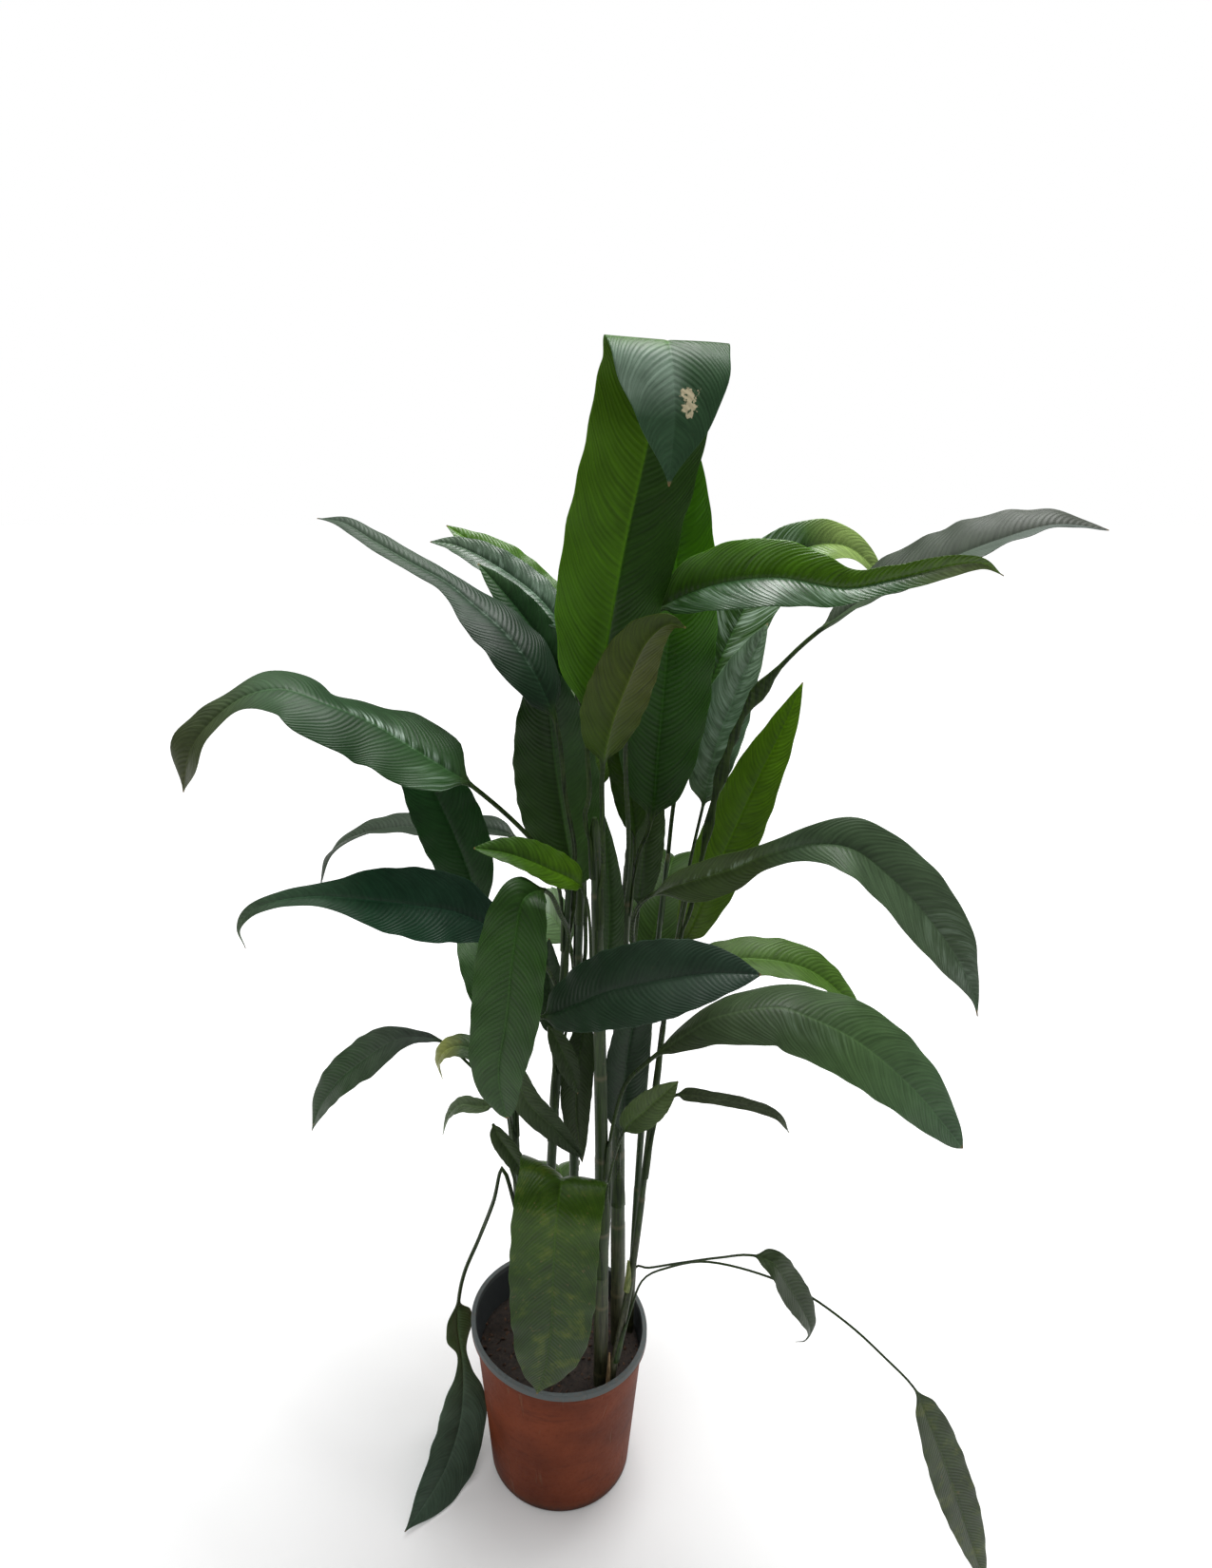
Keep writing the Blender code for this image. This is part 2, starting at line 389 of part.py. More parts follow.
# Base colour and roughness
LOOKS = {
    "pot": ((0.165, 0.040, 0.025), 0.55),
    "soil": ((0.030, 0.018, 0.011), 0.95),
    "stem_green": ((0.120, 0.150, 0.050), 0.45),
    "stem_brown": ((0.180, 0.090, 0.040), 0.45),
    "leaf_bright": ((0.060, 0.150, 0.020), 0.42),
    "leaf_mid": ((0.035, 0.090, 0.025), 0.40),
    "leaf_dark": ((0.020, 0.055, 0.026), 0.36),
    "leaf_olive": ((0.085, 0.100, 0.028), 0.50),
    "dry": ((0.420, 0.300, 0.160), 0.80),
    "bud": ((0.300, 0.340, 0.100), 0.60),
}
BROWN_STEMS = ("stem_front", "stem_red", "stem_right")
LEAVES_BY_LOOK = {
    "leaf_bright": ("leaf_crown_folded", "leaf_crown_back", "leaf_upper_left_light", "leaf_right_arched",
                    "leaf_right_upright", "leaf_right_light", "leaf_left_folded", "leaf_back_pale"),
    "leaf_dark": ("leaf_left_arm", "leaf_left_dark", "leaf_left_grey", "leaf_left_long", "leaf_front_dark",
                  "leaf_right_broad", "leaf_right_twisted", "leaf_floor_left", "leaf_pot_right",
                  "leaf_far_right_low", "leaf_upper_left_long", "leaf_upper_left_low", "leaf_right_glossy",
                  "leaf_right_far", "leaf_centre_dark", "leaf_centre_right", "leaf_middle_dark"),
    "leaf_olive": ("leaf_olive", "leaf_front_mottled", "leaf_left_yellow_tip"),
}


def unit(vector):
    vector = np.asarray(vector, float)
    return vector / np.linalg.norm(vector)


def smooth_curve(points):
    """A curve through all the points, in short straight steps."""
    knots = np.asarray(points, float)
    knots = np.vstack([2 * knots[0] - knots[1], knots, 2 * knots[-1] - knots[-2]])
    curve = []
    for i in range(1, len(knots) - 2):
        p0, p1, p2, p3 = knots[i - 1:i + 3]
        t0 = 0.0
        t1 = t0 + np.linalg.norm(p1 - p0) ** 0.5
        t2 = t1 + np.linalg.norm(p2 - p1) ** 0.5
        t3 = t2 + np.linalg.norm(p3 - p2) ** 0.5
        for t in np.linspace(t1, t2, SPAN_STEPS, endpoint=False):
            a1 = (t1 - t) / (t1 - t0) * p0 + (t - t0) / (t1 - t0) * p1
            a2 = (t2 - t) / (t2 - t1) * p1 + (t - t1) / (t2 - t1) * p2
            a3 = (t3 - t) / (t3 - t2) * p2 + (t - t2) / (t3 - t2) * p3
            b1 = (t2 - t) / (t2 - t0) * a1 + (t - t0) / (t2 - t0) * a2
            b2 = (t3 - t) / (t3 - t1) * a2 + (t - t1) / (t3 - t1) * a3
            curve.append((t2 - t) / (t2 - t1) * b1 + (t - t1) / (t2 - t1) * b2)
    curve.append(knots[-2])
    return np.array(curve)


def run_of(curve):
    steps = np.linalg.norm(np.diff(curve, axis=0), axis=1)
    return np.concatenate([[0], np.cumsum(steps)])


def bends_of(curve, run):
    """How far the curve has turned, in radians, up to each of its points."""
    headings = np.diff(curve, axis=0) / np.diff(run)[:, None]
    bends = np.zeros(len(curve))
    bends[1:-1] = np.arccos(np.clip((headings[1:] * headings[:-1]).sum(1), -1, 1))
    return np.cumsum(bends)


def points_at(curve, run, distances):
    return np.stack([np.interp(distances, run, curve[:, k]) for k in range(3)], axis=1)


def share_at(values, share):
    return float(np.interp(share, np.linspace(0, 1, len(values)), values))


def stem_curve(name):
    stem = STEMS[name]
    x, y = stem["foot"]
    return smooth_curve([(x, y, STEM_FOOT), (x, y, STEM_GROUND)] + stem["path"])


def stem_axis(name, height):
    """The point of the stem's axis at this height, and the way the axis runs there."""
    curve = stem_curve(name)
    around = [np.array([np.interp(z, curve[:, 2], curve[:, k]) for k in range(3)])
              for z in (height - AXIS_REACH, height, height + AXIS_REACH)]
    return around[1], unit(around[2] - around[0])


def stem_radius(name, height):
    stem = STEMS[name]
    top = stem["path"][-1][2]
    rise = np.clip((height - STEM_GROUND) / (top - STEM_GROUND), 0, 1)
    return stem["radius"] * (1 - STEM_TAPER * rise ** TAPER_POWER)


def add_piece(name, points, faces, look, smooth=True):
    colour, roughness = LOOKS[look]
    mesh = bpy.data.meshes.new(name)
    mesh.from_pydata([tuple(float(v) for v in point) for point in points], [], faces)
    mesh.validate()
    mesh.update()
    piece = bpy.data.objects.new(name, mesh)
    bpy.context.scene.collection.objects.link(piece)
    material = bpy.data.materials.new(name)
    material.use_nodes = True
    shader = material.node_tree.nodes["Principled BSDF"]
    shader.inputs["Base Color"].default_value = (*colour, 1)
    shader.inputs["Roughness"].default_value = roughness
    shader.inputs["Metallic"].default_value = 0
    mesh.materials.append(material)
    if smooth:
        mesh.polygons.foreach_set("use_smooth", [True] * len(mesh.polygons))
        mesh.set_sharp_from_angle(angle=math.radians(40))
    return piece


def cut(piece, cutter_points, cutter_faces):
    """Cuts a closed cutter out of the piece."""
    mesh = bpy.data.meshes.new(piece.name + "_cutter")
    mesh.from_pydata([tuple(float(v) for v in point) for point in cutter_points], [], cutter_faces)
    mesh.update()
    cutter = bpy.data.objects.new(mesh.name, mesh)
    bpy.context.scene.collection.objects.link(cutter)
    cutter.hide_render = True
    cutter.display_type = "WIRE"
    boolean = piece.modifiers.new("cut", "BOOLEAN")
    boolean.operation = "DIFFERENCE"
    boolean.solver = "EXACT"
    boolean.object = cutter


def tube_faces(rings, sides):
    """Side faces and caps of rings with the same number of points, each turning left about the way on."""
    faces = []
    for i in range(rings - 1):
        for j in range(sides):
            a, b = i * sides + j, i * sides + (j + 1) % sides
            faces.append((a, b, b + sides, a + sides))
    faces.append(tuple(range(sides - 1, -1, -1)))
    faces.append(tuple(range((rings - 1) * sides, rings * sides)))
    return faces


def upright_cylinders(spots, bottom, top, sides):
    """One mesh of upright cylinders, each spot being x, y and radius."""
    points, faces = [], []
    for x, y, radius in spots:
        first = len(points)
        for z in (bottom, top):
            for j in range(sides):
                angle = 2 * math.pi * j / sides
                points.append((x + radius * math.cos(angle), y + radius * math.sin(angle), z))
        faces.extend(tuple(first + k for k in face) for face in tube_faces(2, sides))
    return points, faces


def pot_outer(z):
    return POT_BASE_RADIUS + (POT_TOP_RADIUS - POT_BASE_RADIUS) * z / POT_HEIGHT


def pot_inner(z):
    return pot_outer(z) - POT_WALL


def leant(x, y, z):
    """The soft pot's wall rises towards -X."""
    return (x, y, z * (1 - RIM_TILT * x / POT_HEIGHT))


def build_pot():
    under_rim = POT_HEIGHT - RIM_HEIGHT
    rim_radius = POT_TOP_RADIUS + RIM_OVERHANG
    profile = [
        (POT_BASE_RADIUS - POT_CHAMFER, 0),
        (pot_outer(POT_CHAMFER), POT_CHAMFER),
        (pot_outer(under_rim), under_rim),
        (rim_radius - RIM_ROUND, under_rim),
        (rim_radius, under_rim + RIM_ROUND),
        (rim_radius, POT_HEIGHT - RIM_ROUND),
        (rim_radius - RIM_ROUND, POT_HEIGHT),
        (pot_inner(POT_HEIGHT) + RIM_ROUND / 2, POT_HEIGHT),
        (pot_inner(POT_HEIGHT - RIM_ROUND), POT_HEIGHT - RIM_ROUND),
        (pot_inner(POT_FLOOR), POT_FLOOR),
    ]
    points = []
    for radius, z in profile:
        for j in range(POT_SIDES):
            angle = 2 * math.pi * j / POT_SIDES
            points.append(leant(radius * math.cos(angle), radius * math.sin(angle), z))
    pot = add_piece("pot", points, tube_faces(len(profile), POT_SIDES), "pot")
    drains = []
    for j in range(DRAIN_COUNT):
        angle = 2 * math.pi * (j + 0.5) / DRAIN_COUNT
        drains.append((DRAIN_CIRCLE * math.cos(angle), DRAIN_CIRCLE * math.sin(angle), DRAIN_RADIUS))
    cut(pot, *upright_cylinders(drains, -POT_FLOOR, 3 * POT_FLOOR, DRAIN_SIDES))


def soil_height(x, y):
    lumps = 0
    for x_rate, x_phase, y_rate, y_phase, strength in SOIL_WAVES:
        lumps += strength * math.sin(x_rate * x + x_phase) * math.sin(y_rate * y + y_phase)
    reach = (x * x + y * y) / pot_inner(SOIL_TOP) ** 2
    return SOIL_TOP + SOIL_MOUND * (1 - reach) + SOIL_LUMP * lumps


def build_soil():
    floor = POT_FLOOR + SEAT_GAP
    points, faces = [], []
    sides = POT_SIDES
    wall_bottom = pot_inner(POT_FLOOR) - SEAT_GAP
    for j in range(sides):
        angle = 2 * math.pi * j / sides
        points.append(leant(wall_bottom * math.cos(angle), wall_bottom * math.sin(angle), floor))
    for j in range(sides):
        angle = 2 * math.pi * j / sides
        radius = pot_inner(SOIL_TOP) - SEAT_GAP
        height = soil_height(radius * math.cos(angle), radius * math.sin(angle))
        unleant = height / (1 - RIM_TILT * radius * math.cos(angle) / POT_HEIGHT)
        radius = pot_inner(unleant) - SEAT_GAP
        points.append((radius * math.cos(angle), radius * math.sin(angle), height))
    for share in reversed(SOIL_RINGS):
        for j in range(sides):
            angle = 2 * math.pi * j / sides
            radius = share * pot_inner(SOIL_TOP)
            x, y = radius * math.cos(angle), radius * math.sin(angle)
            points.append((x, y, soil_height(x, y)))
    rings = 2 + len(SOIL_RINGS)
    for i in range(rings - 1):
        for j in range(sides):
            a, b = i * sides + j, i * sides + (j + 1) % sides
            faces.append((a, b, b + sides))
            faces.append((a, b + sides, a + sides))
    faces.append(tuple(range(sides - 1, -1, -1)))
    points.append((0, 0, soil_height(0, 0)))
    last = (rings - 1) * sides
    for j in range(sides):
        faces.append((last + j, last + (j + 1) % sides, len(points) - 1))
    soil = add_piece("soil", points, faces, "soil", smooth=False)
    holes = [(*stem["foot"], stem["radius"] + SEAT_GAP) for stem in STEMS.values()]
    cut(soil, *upright_cylinders(holes, STEM_FOOT - SEAT_GAP, STEM_GROUND + SOIL_MOUND, STEM_HOLE_SIDES))


def build_stem(name):
    stem = STEMS[name]
    sides = THICK_STEM_SIDES if stem["radius"] > THICK_STEM else STEM_SIDES
    curve = stem_curve(name)
    run = run_of(curve)
    bends = bends_of(curve, run)
    ground = float(np.interp(STEM_GROUND - SEAT_GAP, curve[:, 2], run))
    count = 2 + round((run[-1] - ground) / STEM_STEP)
    distances = np.concatenate([[0], spaced(run, bends, ground, run[-1], count, STEM_BEND_WEIGHT)])
    centres = list(points_at(curve, run, distances))
    shrinks = [1] * len(centres)
    onward = unit(curve[-1] - curve[-2]) * stem_radius(name, curve[-1, 2])
    for ahead, shrink in STEM_TIP:
        centres.append(curve[-1] + onward * ahead)
        shrinks.append(shrink)
    points = []
    for i, centre in enumerate(centres):
        ahead = centres[min(i + 1, len(centres) - 1)] - centres[max(i - 1, 0)]
        direction = unit(ahead) if i > 1 else np.array((0.0, 0.0, 1.0))
        right = unit(np.cross((0, 1, 0), direction))
        back = np.cross(direction, right)
        radius = stem_radius(name, centre[2]) * shrinks[i]
        for j in range(sides):
            angle = 2 * math.pi * j / sides
            points.append(centre + radius * (math.cos(angle) * right + math.sin(angle) * back))
    look = "stem_brown" if name in BROWN_STEMS else "stem_green"
    add_piece(name, points, tube_faces(len(centres), sides), look)


def round_section(radius):
    """Ten points around a petiole, left to right over its upper side and then its lower side."""
    angles = [math.radians(angle) for angle in (162, 126, 90, 54, 18)]
    upper = [(radius * math.cos(angle), radius * math.sin(angle)) for angle in angles]
    lower = [(x, -y) for x, y in upper]
    return np.array(upper + lower)


def blade_section(leaf, share, half_width, rib):
    """Ten points across a blade: two halves that fold up from the midrib and bow a little."""
    cup = leaf.get("cup", 0)
    bow = leaf.get("bow", BLADE_BOW)
    wave = leaf.get("wave", BLADE_WAVE)
    left = share_at(leaf.get("left", (cup,)), share) + wave * math.sin(LEFT_WAVE[0] * share + LEFT_WAVE[1])
    right = share_at(leaf.get("right", (cup,)), share) + wave * math.sin(RIGHT_WAVE[0] * share + RIGHT_WAVE[1])
    upper = np.array([
        (-math.cos(math.radians(left)), math.sin(math.radians(left))),
        (-math.cos(math.radians(left + bow)) / 2, math.sin(math.radians(left + bow)) / 2),
        (0, 0),
        (math.cos(math.radians(right + bow)) / 2, math.sin(math.radians(right + bow)) / 2),
        (math.cos(math.radians(right)), math.sin(math.radians(right))),
    ]) * half_width
    depths = np.full(5, BLADE_THICKNESS)
    depths[2] = max(BLADE_THICKNESS, rib)
    lower = upper - np.stack([np.zeros(5), depths], axis=1)
    return np.concatenate([upper, lower])


def blade_share(leaf, share):
    """The width of the blade here, as a share of the greatest."""
    if "widths" in leaf:
        return share_at(leaf["widths"], share)
    peak = leaf.get("peak", BLADE_PEAK)
    if share < peak:
        return (1 - ((peak - share) / peak) ** BASE_CURVE) ** leaf.get("base_power", BASE_POWER)
    return max(0.0, 1 - ((share - peak) / (1 - peak)) ** TIP_CURVE) ** leaf.get("tip_power", TIP_POWER)


def turned(vector, axis, angle):
    along = axis * axis.dot(vector) * (1 - math.cos(angle))
    return vector * math.cos(angle) + np.cross(axis, vector) * math.sin(angle) + along


def sheath_ring(stem, height, toward, span, wall):
    """Ten points of a crescent that hugs the stem: five inside, then five outside."""
    centre, direction = stem_axis(stem, height)
    out = unit(toward - direction * toward.dot(direction))
    side = np.cross(direction, out)
    inside = (stem_radius(stem, height) + SEAT_GAP) / math.cos(span / 8) + FACET_ALLOWANCE
    ring = []
    for radius in (inside, inside + wall):
        for j in range(5):
            angle = span * (j / 4 - 0.5)
            ring.append(centre + radius * (math.cos(angle) * out + math.sin(angle) * side))
    return np.array(ring)


def spaced(run, bends, begin, end, count, bend_weight):
    """Distances from begin to end, closer together where the curve bends."""
    fine = np.linspace(begin, end, 200)
    cost = fine - begin + bend_weight * (np.interp(fine, run, bends) - np.interp(begin, run, bends))
    return np.interp(np.linspace(0, cost[-1], count), cost, fine)


def leaf_rings(leaf):
    stem, at = leaf["stem"], leaf["at"]
    usual_radius = THICK_PETIOLE if leaf["width"] > WIDE_BLADE else THIN_PETIOLE
    petiole_radius = leaf.get("petiole_radius", usual_radius)
    start, start_direction = stem_axis(stem, at + SHEATH_LENGTH)
    toward = np.array(leaf.get("toward", np.array((leaf["petiole"] + leaf["blade"])[0]) - start))
    toward = unit(toward - start_direction * toward.dot(start_direction))
    rings = []
    for k, (spread, wall) in enumerate(zip(SHEATH_SPANS, SHEATH_WALLS)):
        rings.append(sheath_ring(stem, at + SHEATH_LENGTH * k / 2, toward, SHEATH_SPAN * spread, wall))
    base = start + toward * (stem_radius(stem, at + SHEATH_LENGTH) + SEAT_GAP + PETIOLE_STAND_OFF)
    lead = base + start_direction * PETIOLE_RISE + toward * (petiole_radius + PETIOLE_LEAN)
    knots = [base, lead] + [np.array(p) for p in leaf["petiole"] + leaf["blade"]]
    curve = smooth_curve(knots)
    run = run_of(curve)
    length = run[-1]
    blade_start = run[SPAN_STEPS * (2 + len(leaf["petiole"]))]
    bends = bends_of(curve, run)
    stations = leaf.get("stations", SMALL_STATIONS if leaf["width"] < SMALL_BLADE else BLADE_STATIONS)
    petiole_bend = np.interp(blade_start, run, bends) - np.interp(PETIOLE_START, run, bends)
    petiole_length = blade_start - PETIOLE_START
    petiole_count = max(2, math.ceil(petiole_length / PETIOLE_STEP + petiole_bend / PETIOLE_TURN))
    distances = np.concatenate([
        spaced(run, bends, PETIOLE_START, blade_start - TIP_MARGIN, petiole_count, LEAF_BEND_WEIGHT),
        spaced(run, bends, blade_start, length, stations, LEAF_BEND_WEIGHT),
    ])
    centres = points_at(curve, run, distances)
    tangents = points_at(curve, run, distances + TIP_MARGIN) - points_at(curve, run, distances - TIP_MARGIN)
    tangents /= np.linalg.norm(tangents, axis=1)[:, None]

    # The blade's face is carried along the curve from its middle, and the petiole turns to face the stem.
    middle = petiole_count + (len(distances) - petiole_count) // 2
    face = unit(leaf["face"])
    normals = [None] * len(distances)
    normals[middle] = unit(face - tangents[middle] * face.dot(tangents[middle]))
    for i in list(range(middle + 1, len(distances))) + list(range(middle - 1, -1, -1)):
        before = i - 1 if i > middle else i + 1
        axis = np.cross(tangents[before], tangents[i])
        size = np.linalg.norm(axis)
        angle = math.atan2(size, tangents[before].dot(tangents[i]))
        normals[i] = turned(normals[before], axis / size, angle) if size > 1e-9 else normals[before]
    first = tangents[0]
    wanted = unit(-toward + first * toward.dot(first))
    untwist = math.atan2(np.cross(normals[0], wanted).dot(first), normals[0].dot(wanted))
    twist_base, twist_tip = (math.radians(angle) for angle in leaf.get("twist", (0, 0)))

    for i, distance in enumerate(distances):
        if distance < blade_start:
            share = (distance - distances[0]) / (blade_start - distances[0])
            ease = 1 - share * share * (3 - 2 * share)
            twist = untwist * ease + twist_base * (1 - ease)
            section = round_section(petiole_radius)
        else:
            share = min(1.0, (distance - blade_start) / (length - blade_start))
            twist = twist_base * max(0, 1 - 2 * share) + twist_tip * max(0, 2 * share - 1)
            half_width = max(leaf["width"] * blade_share(leaf, share), TIP_HALF_WIDTH)
            rib = petiole_radius * 2 * (1 - share) ** RIB_TAPER + RIB_TIP
            mix = min(1.0, share / ROUND_TO_FLAT)
            section = blade_section(leaf, share, half_width, rib) * mix
            section += round_section(petiole_radius) * (1 - mix)
        normal = turned(normals[i], tangents[i], twist)
        side = np.cross(normal, tangents[i])
        rings.append(centres[i] + section[:, :1] * side + section[:, 1:] * normal)
    return rings


def ribbon_faces(count):
    """Triangles around rings of ten points, alike on the upper and the lower side."""
    faces = []
    for i in range(count - 1):
        p, q = 10 * i, 10 * (i + 1)
        for j in range(4):
            faces.extend([(p + j, q + j + 1, p + j + 1), (p + j, q + j, q + j + 1)])
            faces.extend([(q + 5 + j, p + 6 + j, q + 6 + j), (q + 5 + j, p + 5 + j, p + 6 + j)])
        faces.extend([(p + 4, q + 9, p + 9), (p + 4, q + 4, q + 9)])
        faces.extend([(p, q + 5, q), (p, p + 5, q + 5)])
    last = 10 * (count - 1)
    for j in range(4):
        faces.append((j, j + 6, j + 5))
        faces.append((j, j + 1, j + 6))
        faces.append((last + j, last + j + 6, last + j + 1))
        faces.append((last + j, last + j + 5, last + j + 6))
    return faces


def build_leaf(name):
    rings = leaf_rings(LEAVES[name])
    look = next((look for look, names in LEAVES_BY_LOOK.items() if name in names), "leaf_mid")
    add_piece(name, np.concatenate(rings), ribbon_faces(len(rings)), look)


def build_bare_sheath(name, look):
    sheath = BARE_SHEATHS[name]
    toward = unit(sheath["toward"])
    rings = []
    for k, spread in enumerate(BARE_SPANS):
        height = sheath["at"] + sheath["length"] * k / (len(BARE_SPANS) - 1)
        rings.append(sheath_ring(sheath["stem"], height, toward, SHEATH_SPAN * spread, sheath["wall"]))
    add_piece(name, np.concatenate(rings), ribbon_faces(len(rings)), look)


for old in list(bpy.data.objects):
    bpy.data.objects.remove(old, do_unlink=True)

build_pot()
build_soil()
for stem_name in STEMS:
    build_stem(stem_name)
build_bare_sheath("dried_sheath", "dry")
build_bare_sheath("green_stub", "bud")
for leaf_name in LEAVES:
    build_leaf(leaf_name)
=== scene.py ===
# Potted heliconia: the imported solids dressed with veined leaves, ribbed stems, a worn pot and potting mix

import json
import math

import bmesh
import bpy
import numpy as np
from mathutils import Matrix


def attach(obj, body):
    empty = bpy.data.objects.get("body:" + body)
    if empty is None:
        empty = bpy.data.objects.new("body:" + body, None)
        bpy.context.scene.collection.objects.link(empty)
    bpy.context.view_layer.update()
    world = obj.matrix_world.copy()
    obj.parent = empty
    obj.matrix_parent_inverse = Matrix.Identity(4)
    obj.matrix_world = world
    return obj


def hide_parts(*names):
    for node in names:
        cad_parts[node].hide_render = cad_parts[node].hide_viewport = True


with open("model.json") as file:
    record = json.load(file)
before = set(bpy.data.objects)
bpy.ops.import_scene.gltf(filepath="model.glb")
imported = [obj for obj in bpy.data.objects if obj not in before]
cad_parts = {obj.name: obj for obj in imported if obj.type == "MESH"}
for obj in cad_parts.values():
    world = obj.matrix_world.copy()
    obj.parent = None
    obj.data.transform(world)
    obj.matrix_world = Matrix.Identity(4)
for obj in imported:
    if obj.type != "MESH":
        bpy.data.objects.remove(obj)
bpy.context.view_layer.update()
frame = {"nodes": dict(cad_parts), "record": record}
slots = {part["node"]: part["material_slot"] for part in frame["record"]["subparts"]}
print("frame loaded:", len(frame["nodes"]), "nodes")


def tone(red, green, blue):
    # A display colour, 0 to 255, as the linear colour that a shader takes
    shares = [value / 255 for value in (red, green, blue)]
    return tuple(((s + 0.055) / 1.055) ** 2.4 if s > 0.04 else s / 12.92 for s in shares) + (1,)


def metres(millimetres):
    return np.asarray(millimetres, float) / 1000


def unit(vector):
    vector = np.asarray(vector, float)
    return vector / np.linalg.norm(vector)


def newObject(name, data):
    made = bpy.data.objects.new(name, data)
    bpy.context.scene.collection.objects.link(made)
    return made


class Nodes:
    # A short way to add and join the nodes of one tree
    def __init__(self, tree):
        self.tree = tree

    def put(self, node, key, value):
        if isinstance(value, bpy.types.NodeSocket):
            self.tree.links.new(value, node.inputs[key])
        else:
            node.inputs[key].default_value = value

    def add(self, kind, inputs=None, **settings):
        node = self.tree.nodes.new(kind)
        for key, value in settings.items():
            setattr(node, key, value)
        for key, value in (inputs or {}).items():
            self.put(node, key, value)
        return node

    def math(self, operation, a, b=0.0, clamp=False):
        return self.add("ShaderNodeMath", {0: a, 1: b}, operation=operation, use_clamp=clamp).outputs[0]

    def plus(self, a, b, clamp=False):
        return self.math("ADD", a, b, clamp)

    def times(self, a, b, clamp=False):
        return self.math("MULTIPLY", a, b, clamp)

    def swing(self, value, amount):  # how far a value is from its middle, 0.5, times the amount
        return self.times(self.math("SUBTRACT", value, 0.5), amount)

    def mix(self, factor, a, b):
        return self.add("ShaderNodeMix", {0: factor, 6: a, 7: b}, data_type="RGBA").outputs[2]

    def mixValue(self, factor, a, b):
        return self.add("ShaderNodeMix", {0: factor, 2: a, 3: b}, data_type="FLOAT").outputs[0]

    def layered(self, color, *layers):  # lays one colour after another over the first, each by its amount
        for amount, tint in layers:
            color = self.mix(amount, color, tint)
        return color

    def ramp(self, value, low, high, toLow=0.0, toHigh=1.0):
        return self.add("ShaderNodeMapRange", {"Value": value, "From Min": low, "From Max": high,
                                               "To Min": toLow, "To Max": toHigh}).outputs[0]

    def noise(self, place, scale, detail=3.0, roughness=0.5):
        return self.add("ShaderNodeTexNoise", {"Vector": place, "Scale": scale, "Detail": detail,
                                               "Roughness": roughness}).outputs[0]

    def mapped(self, place, scale, turn=(0.0, 0.0, 0.0)):
        return self.add("ShaderNodeMapping", {"Vector": place, "Rotation": turn, "Scale": scale}).outputs[0]

    def vector(self, operation, inputs):
        return self.add("ShaderNodeVectorMath", inputs, operation=operation).outputs

    def split(self, vector):
        return self.add("ShaderNodeSeparateXYZ", {0: vector}).outputs[:3]

    def coordinates(self, kind="Object"):
        return self.add("ShaderNodeTexCoord").outputs[kind]

    def attribute(self, name):
        return self.add("ShaderNodeAttribute", attribute_name=name).outputs


# Camera, as the photograph was taken: pixels of the photograph, metres and degrees
cameraView = dict(width=1275, height=1650, focal=1186, middle=(600, 850), place=(0.015, -1.10, 1.525),
                  tilt=24.7)


def placeCamera():
    lens = bpy.data.cameras.new("photoView")
    lens.sensor_fit = "AUTO"
    lens.lens = cameraView["focal"] / cameraView["height"] * lens.sensor_width
    lens.shift_x = (cameraView["width"] / 2 - cameraView["middle"][0]) / cameraView["height"]
    lens.shift_y = (cameraView["middle"][1] - cameraView["height"] / 2) / cameraView["height"]
    camera = newObject("photoView", lens)
    camera.location = cameraView["place"]
    camera.rotation_euler = (math.radians(90 - cameraView["tilt"]), 0, 0)
    bpy.context.scene.camera = camera
    bpy.context.scene.view_settings.view_transform = "Standard"


# Studio: a pale floor, a white surround that lights more from above than from the sides, and large soft
# lamps. The patch is what glossy leaves mirror; the floor glows a little more with each metre from the pot.
studio = dict(
    floorSize=14.0, floorTone=(0.90, 0.90, 0.90, 1), floorRoughness=0.9, floorGloss=0.1, floorDrop=0.001,
    floorGlow=0.45, glowFrom=-0.1, glowTo=1.3, overheadLight=1.15, horizonLight=0.22, frontLight=0.3,
    frontFade=(-0.9, 0.1), patchFrom=(-0.3, 0.05, 0.95), patchEdge=(0.55, 0.98), patchLight=1.7,
    dimLight=0.06,
    lamps=[("overhead", (0.45, 0.5, 3.05), (0.05, 0.0, 0.6), 1.0, 62),  # name, place, target, size and power
           ("leftFront", (-2.0, -1.2, 2.2), (0, 0, 0.6), 1.0, 14)])


def buildFloor():
    half = studio["floorSize"] / 2
    corners = [(-half, -half, 0), (half, -half, 0), (half, half, 0), (-half, half, 0)]
    mesh = bpy.data.meshes.new("floor")
    mesh.from_pydata(corners, [], [(0, 1, 2, 3)])
    paint = bpy.data.materials.new("floorPaint")
    paint.use_nodes = True
    nodes = Nodes(paint.node_tree)
    shader = paint.node_tree.nodes["Principled BSDF"]
    away = nodes.vector("LENGTH", {0: nodes.coordinates()})[1]
    glow = nodes.ramp(away, studio["glowFrom"], studio["glowTo"], 0.0, studio["floorGlow"])
    for key, value in {"Base Color": studio["floorTone"], "Roughness": studio["floorRoughness"],
                       "Specular IOR Level": studio["floorGloss"], "Emission Color": (1, 1, 1, 1),
                       "Emission Strength": glow}.items():
        nodes.put(shader, key, value)
    mesh.materials.append(paint)
    floor = newObject("floor", mesh)
    floor.location.z = -studio["floorDrop"]


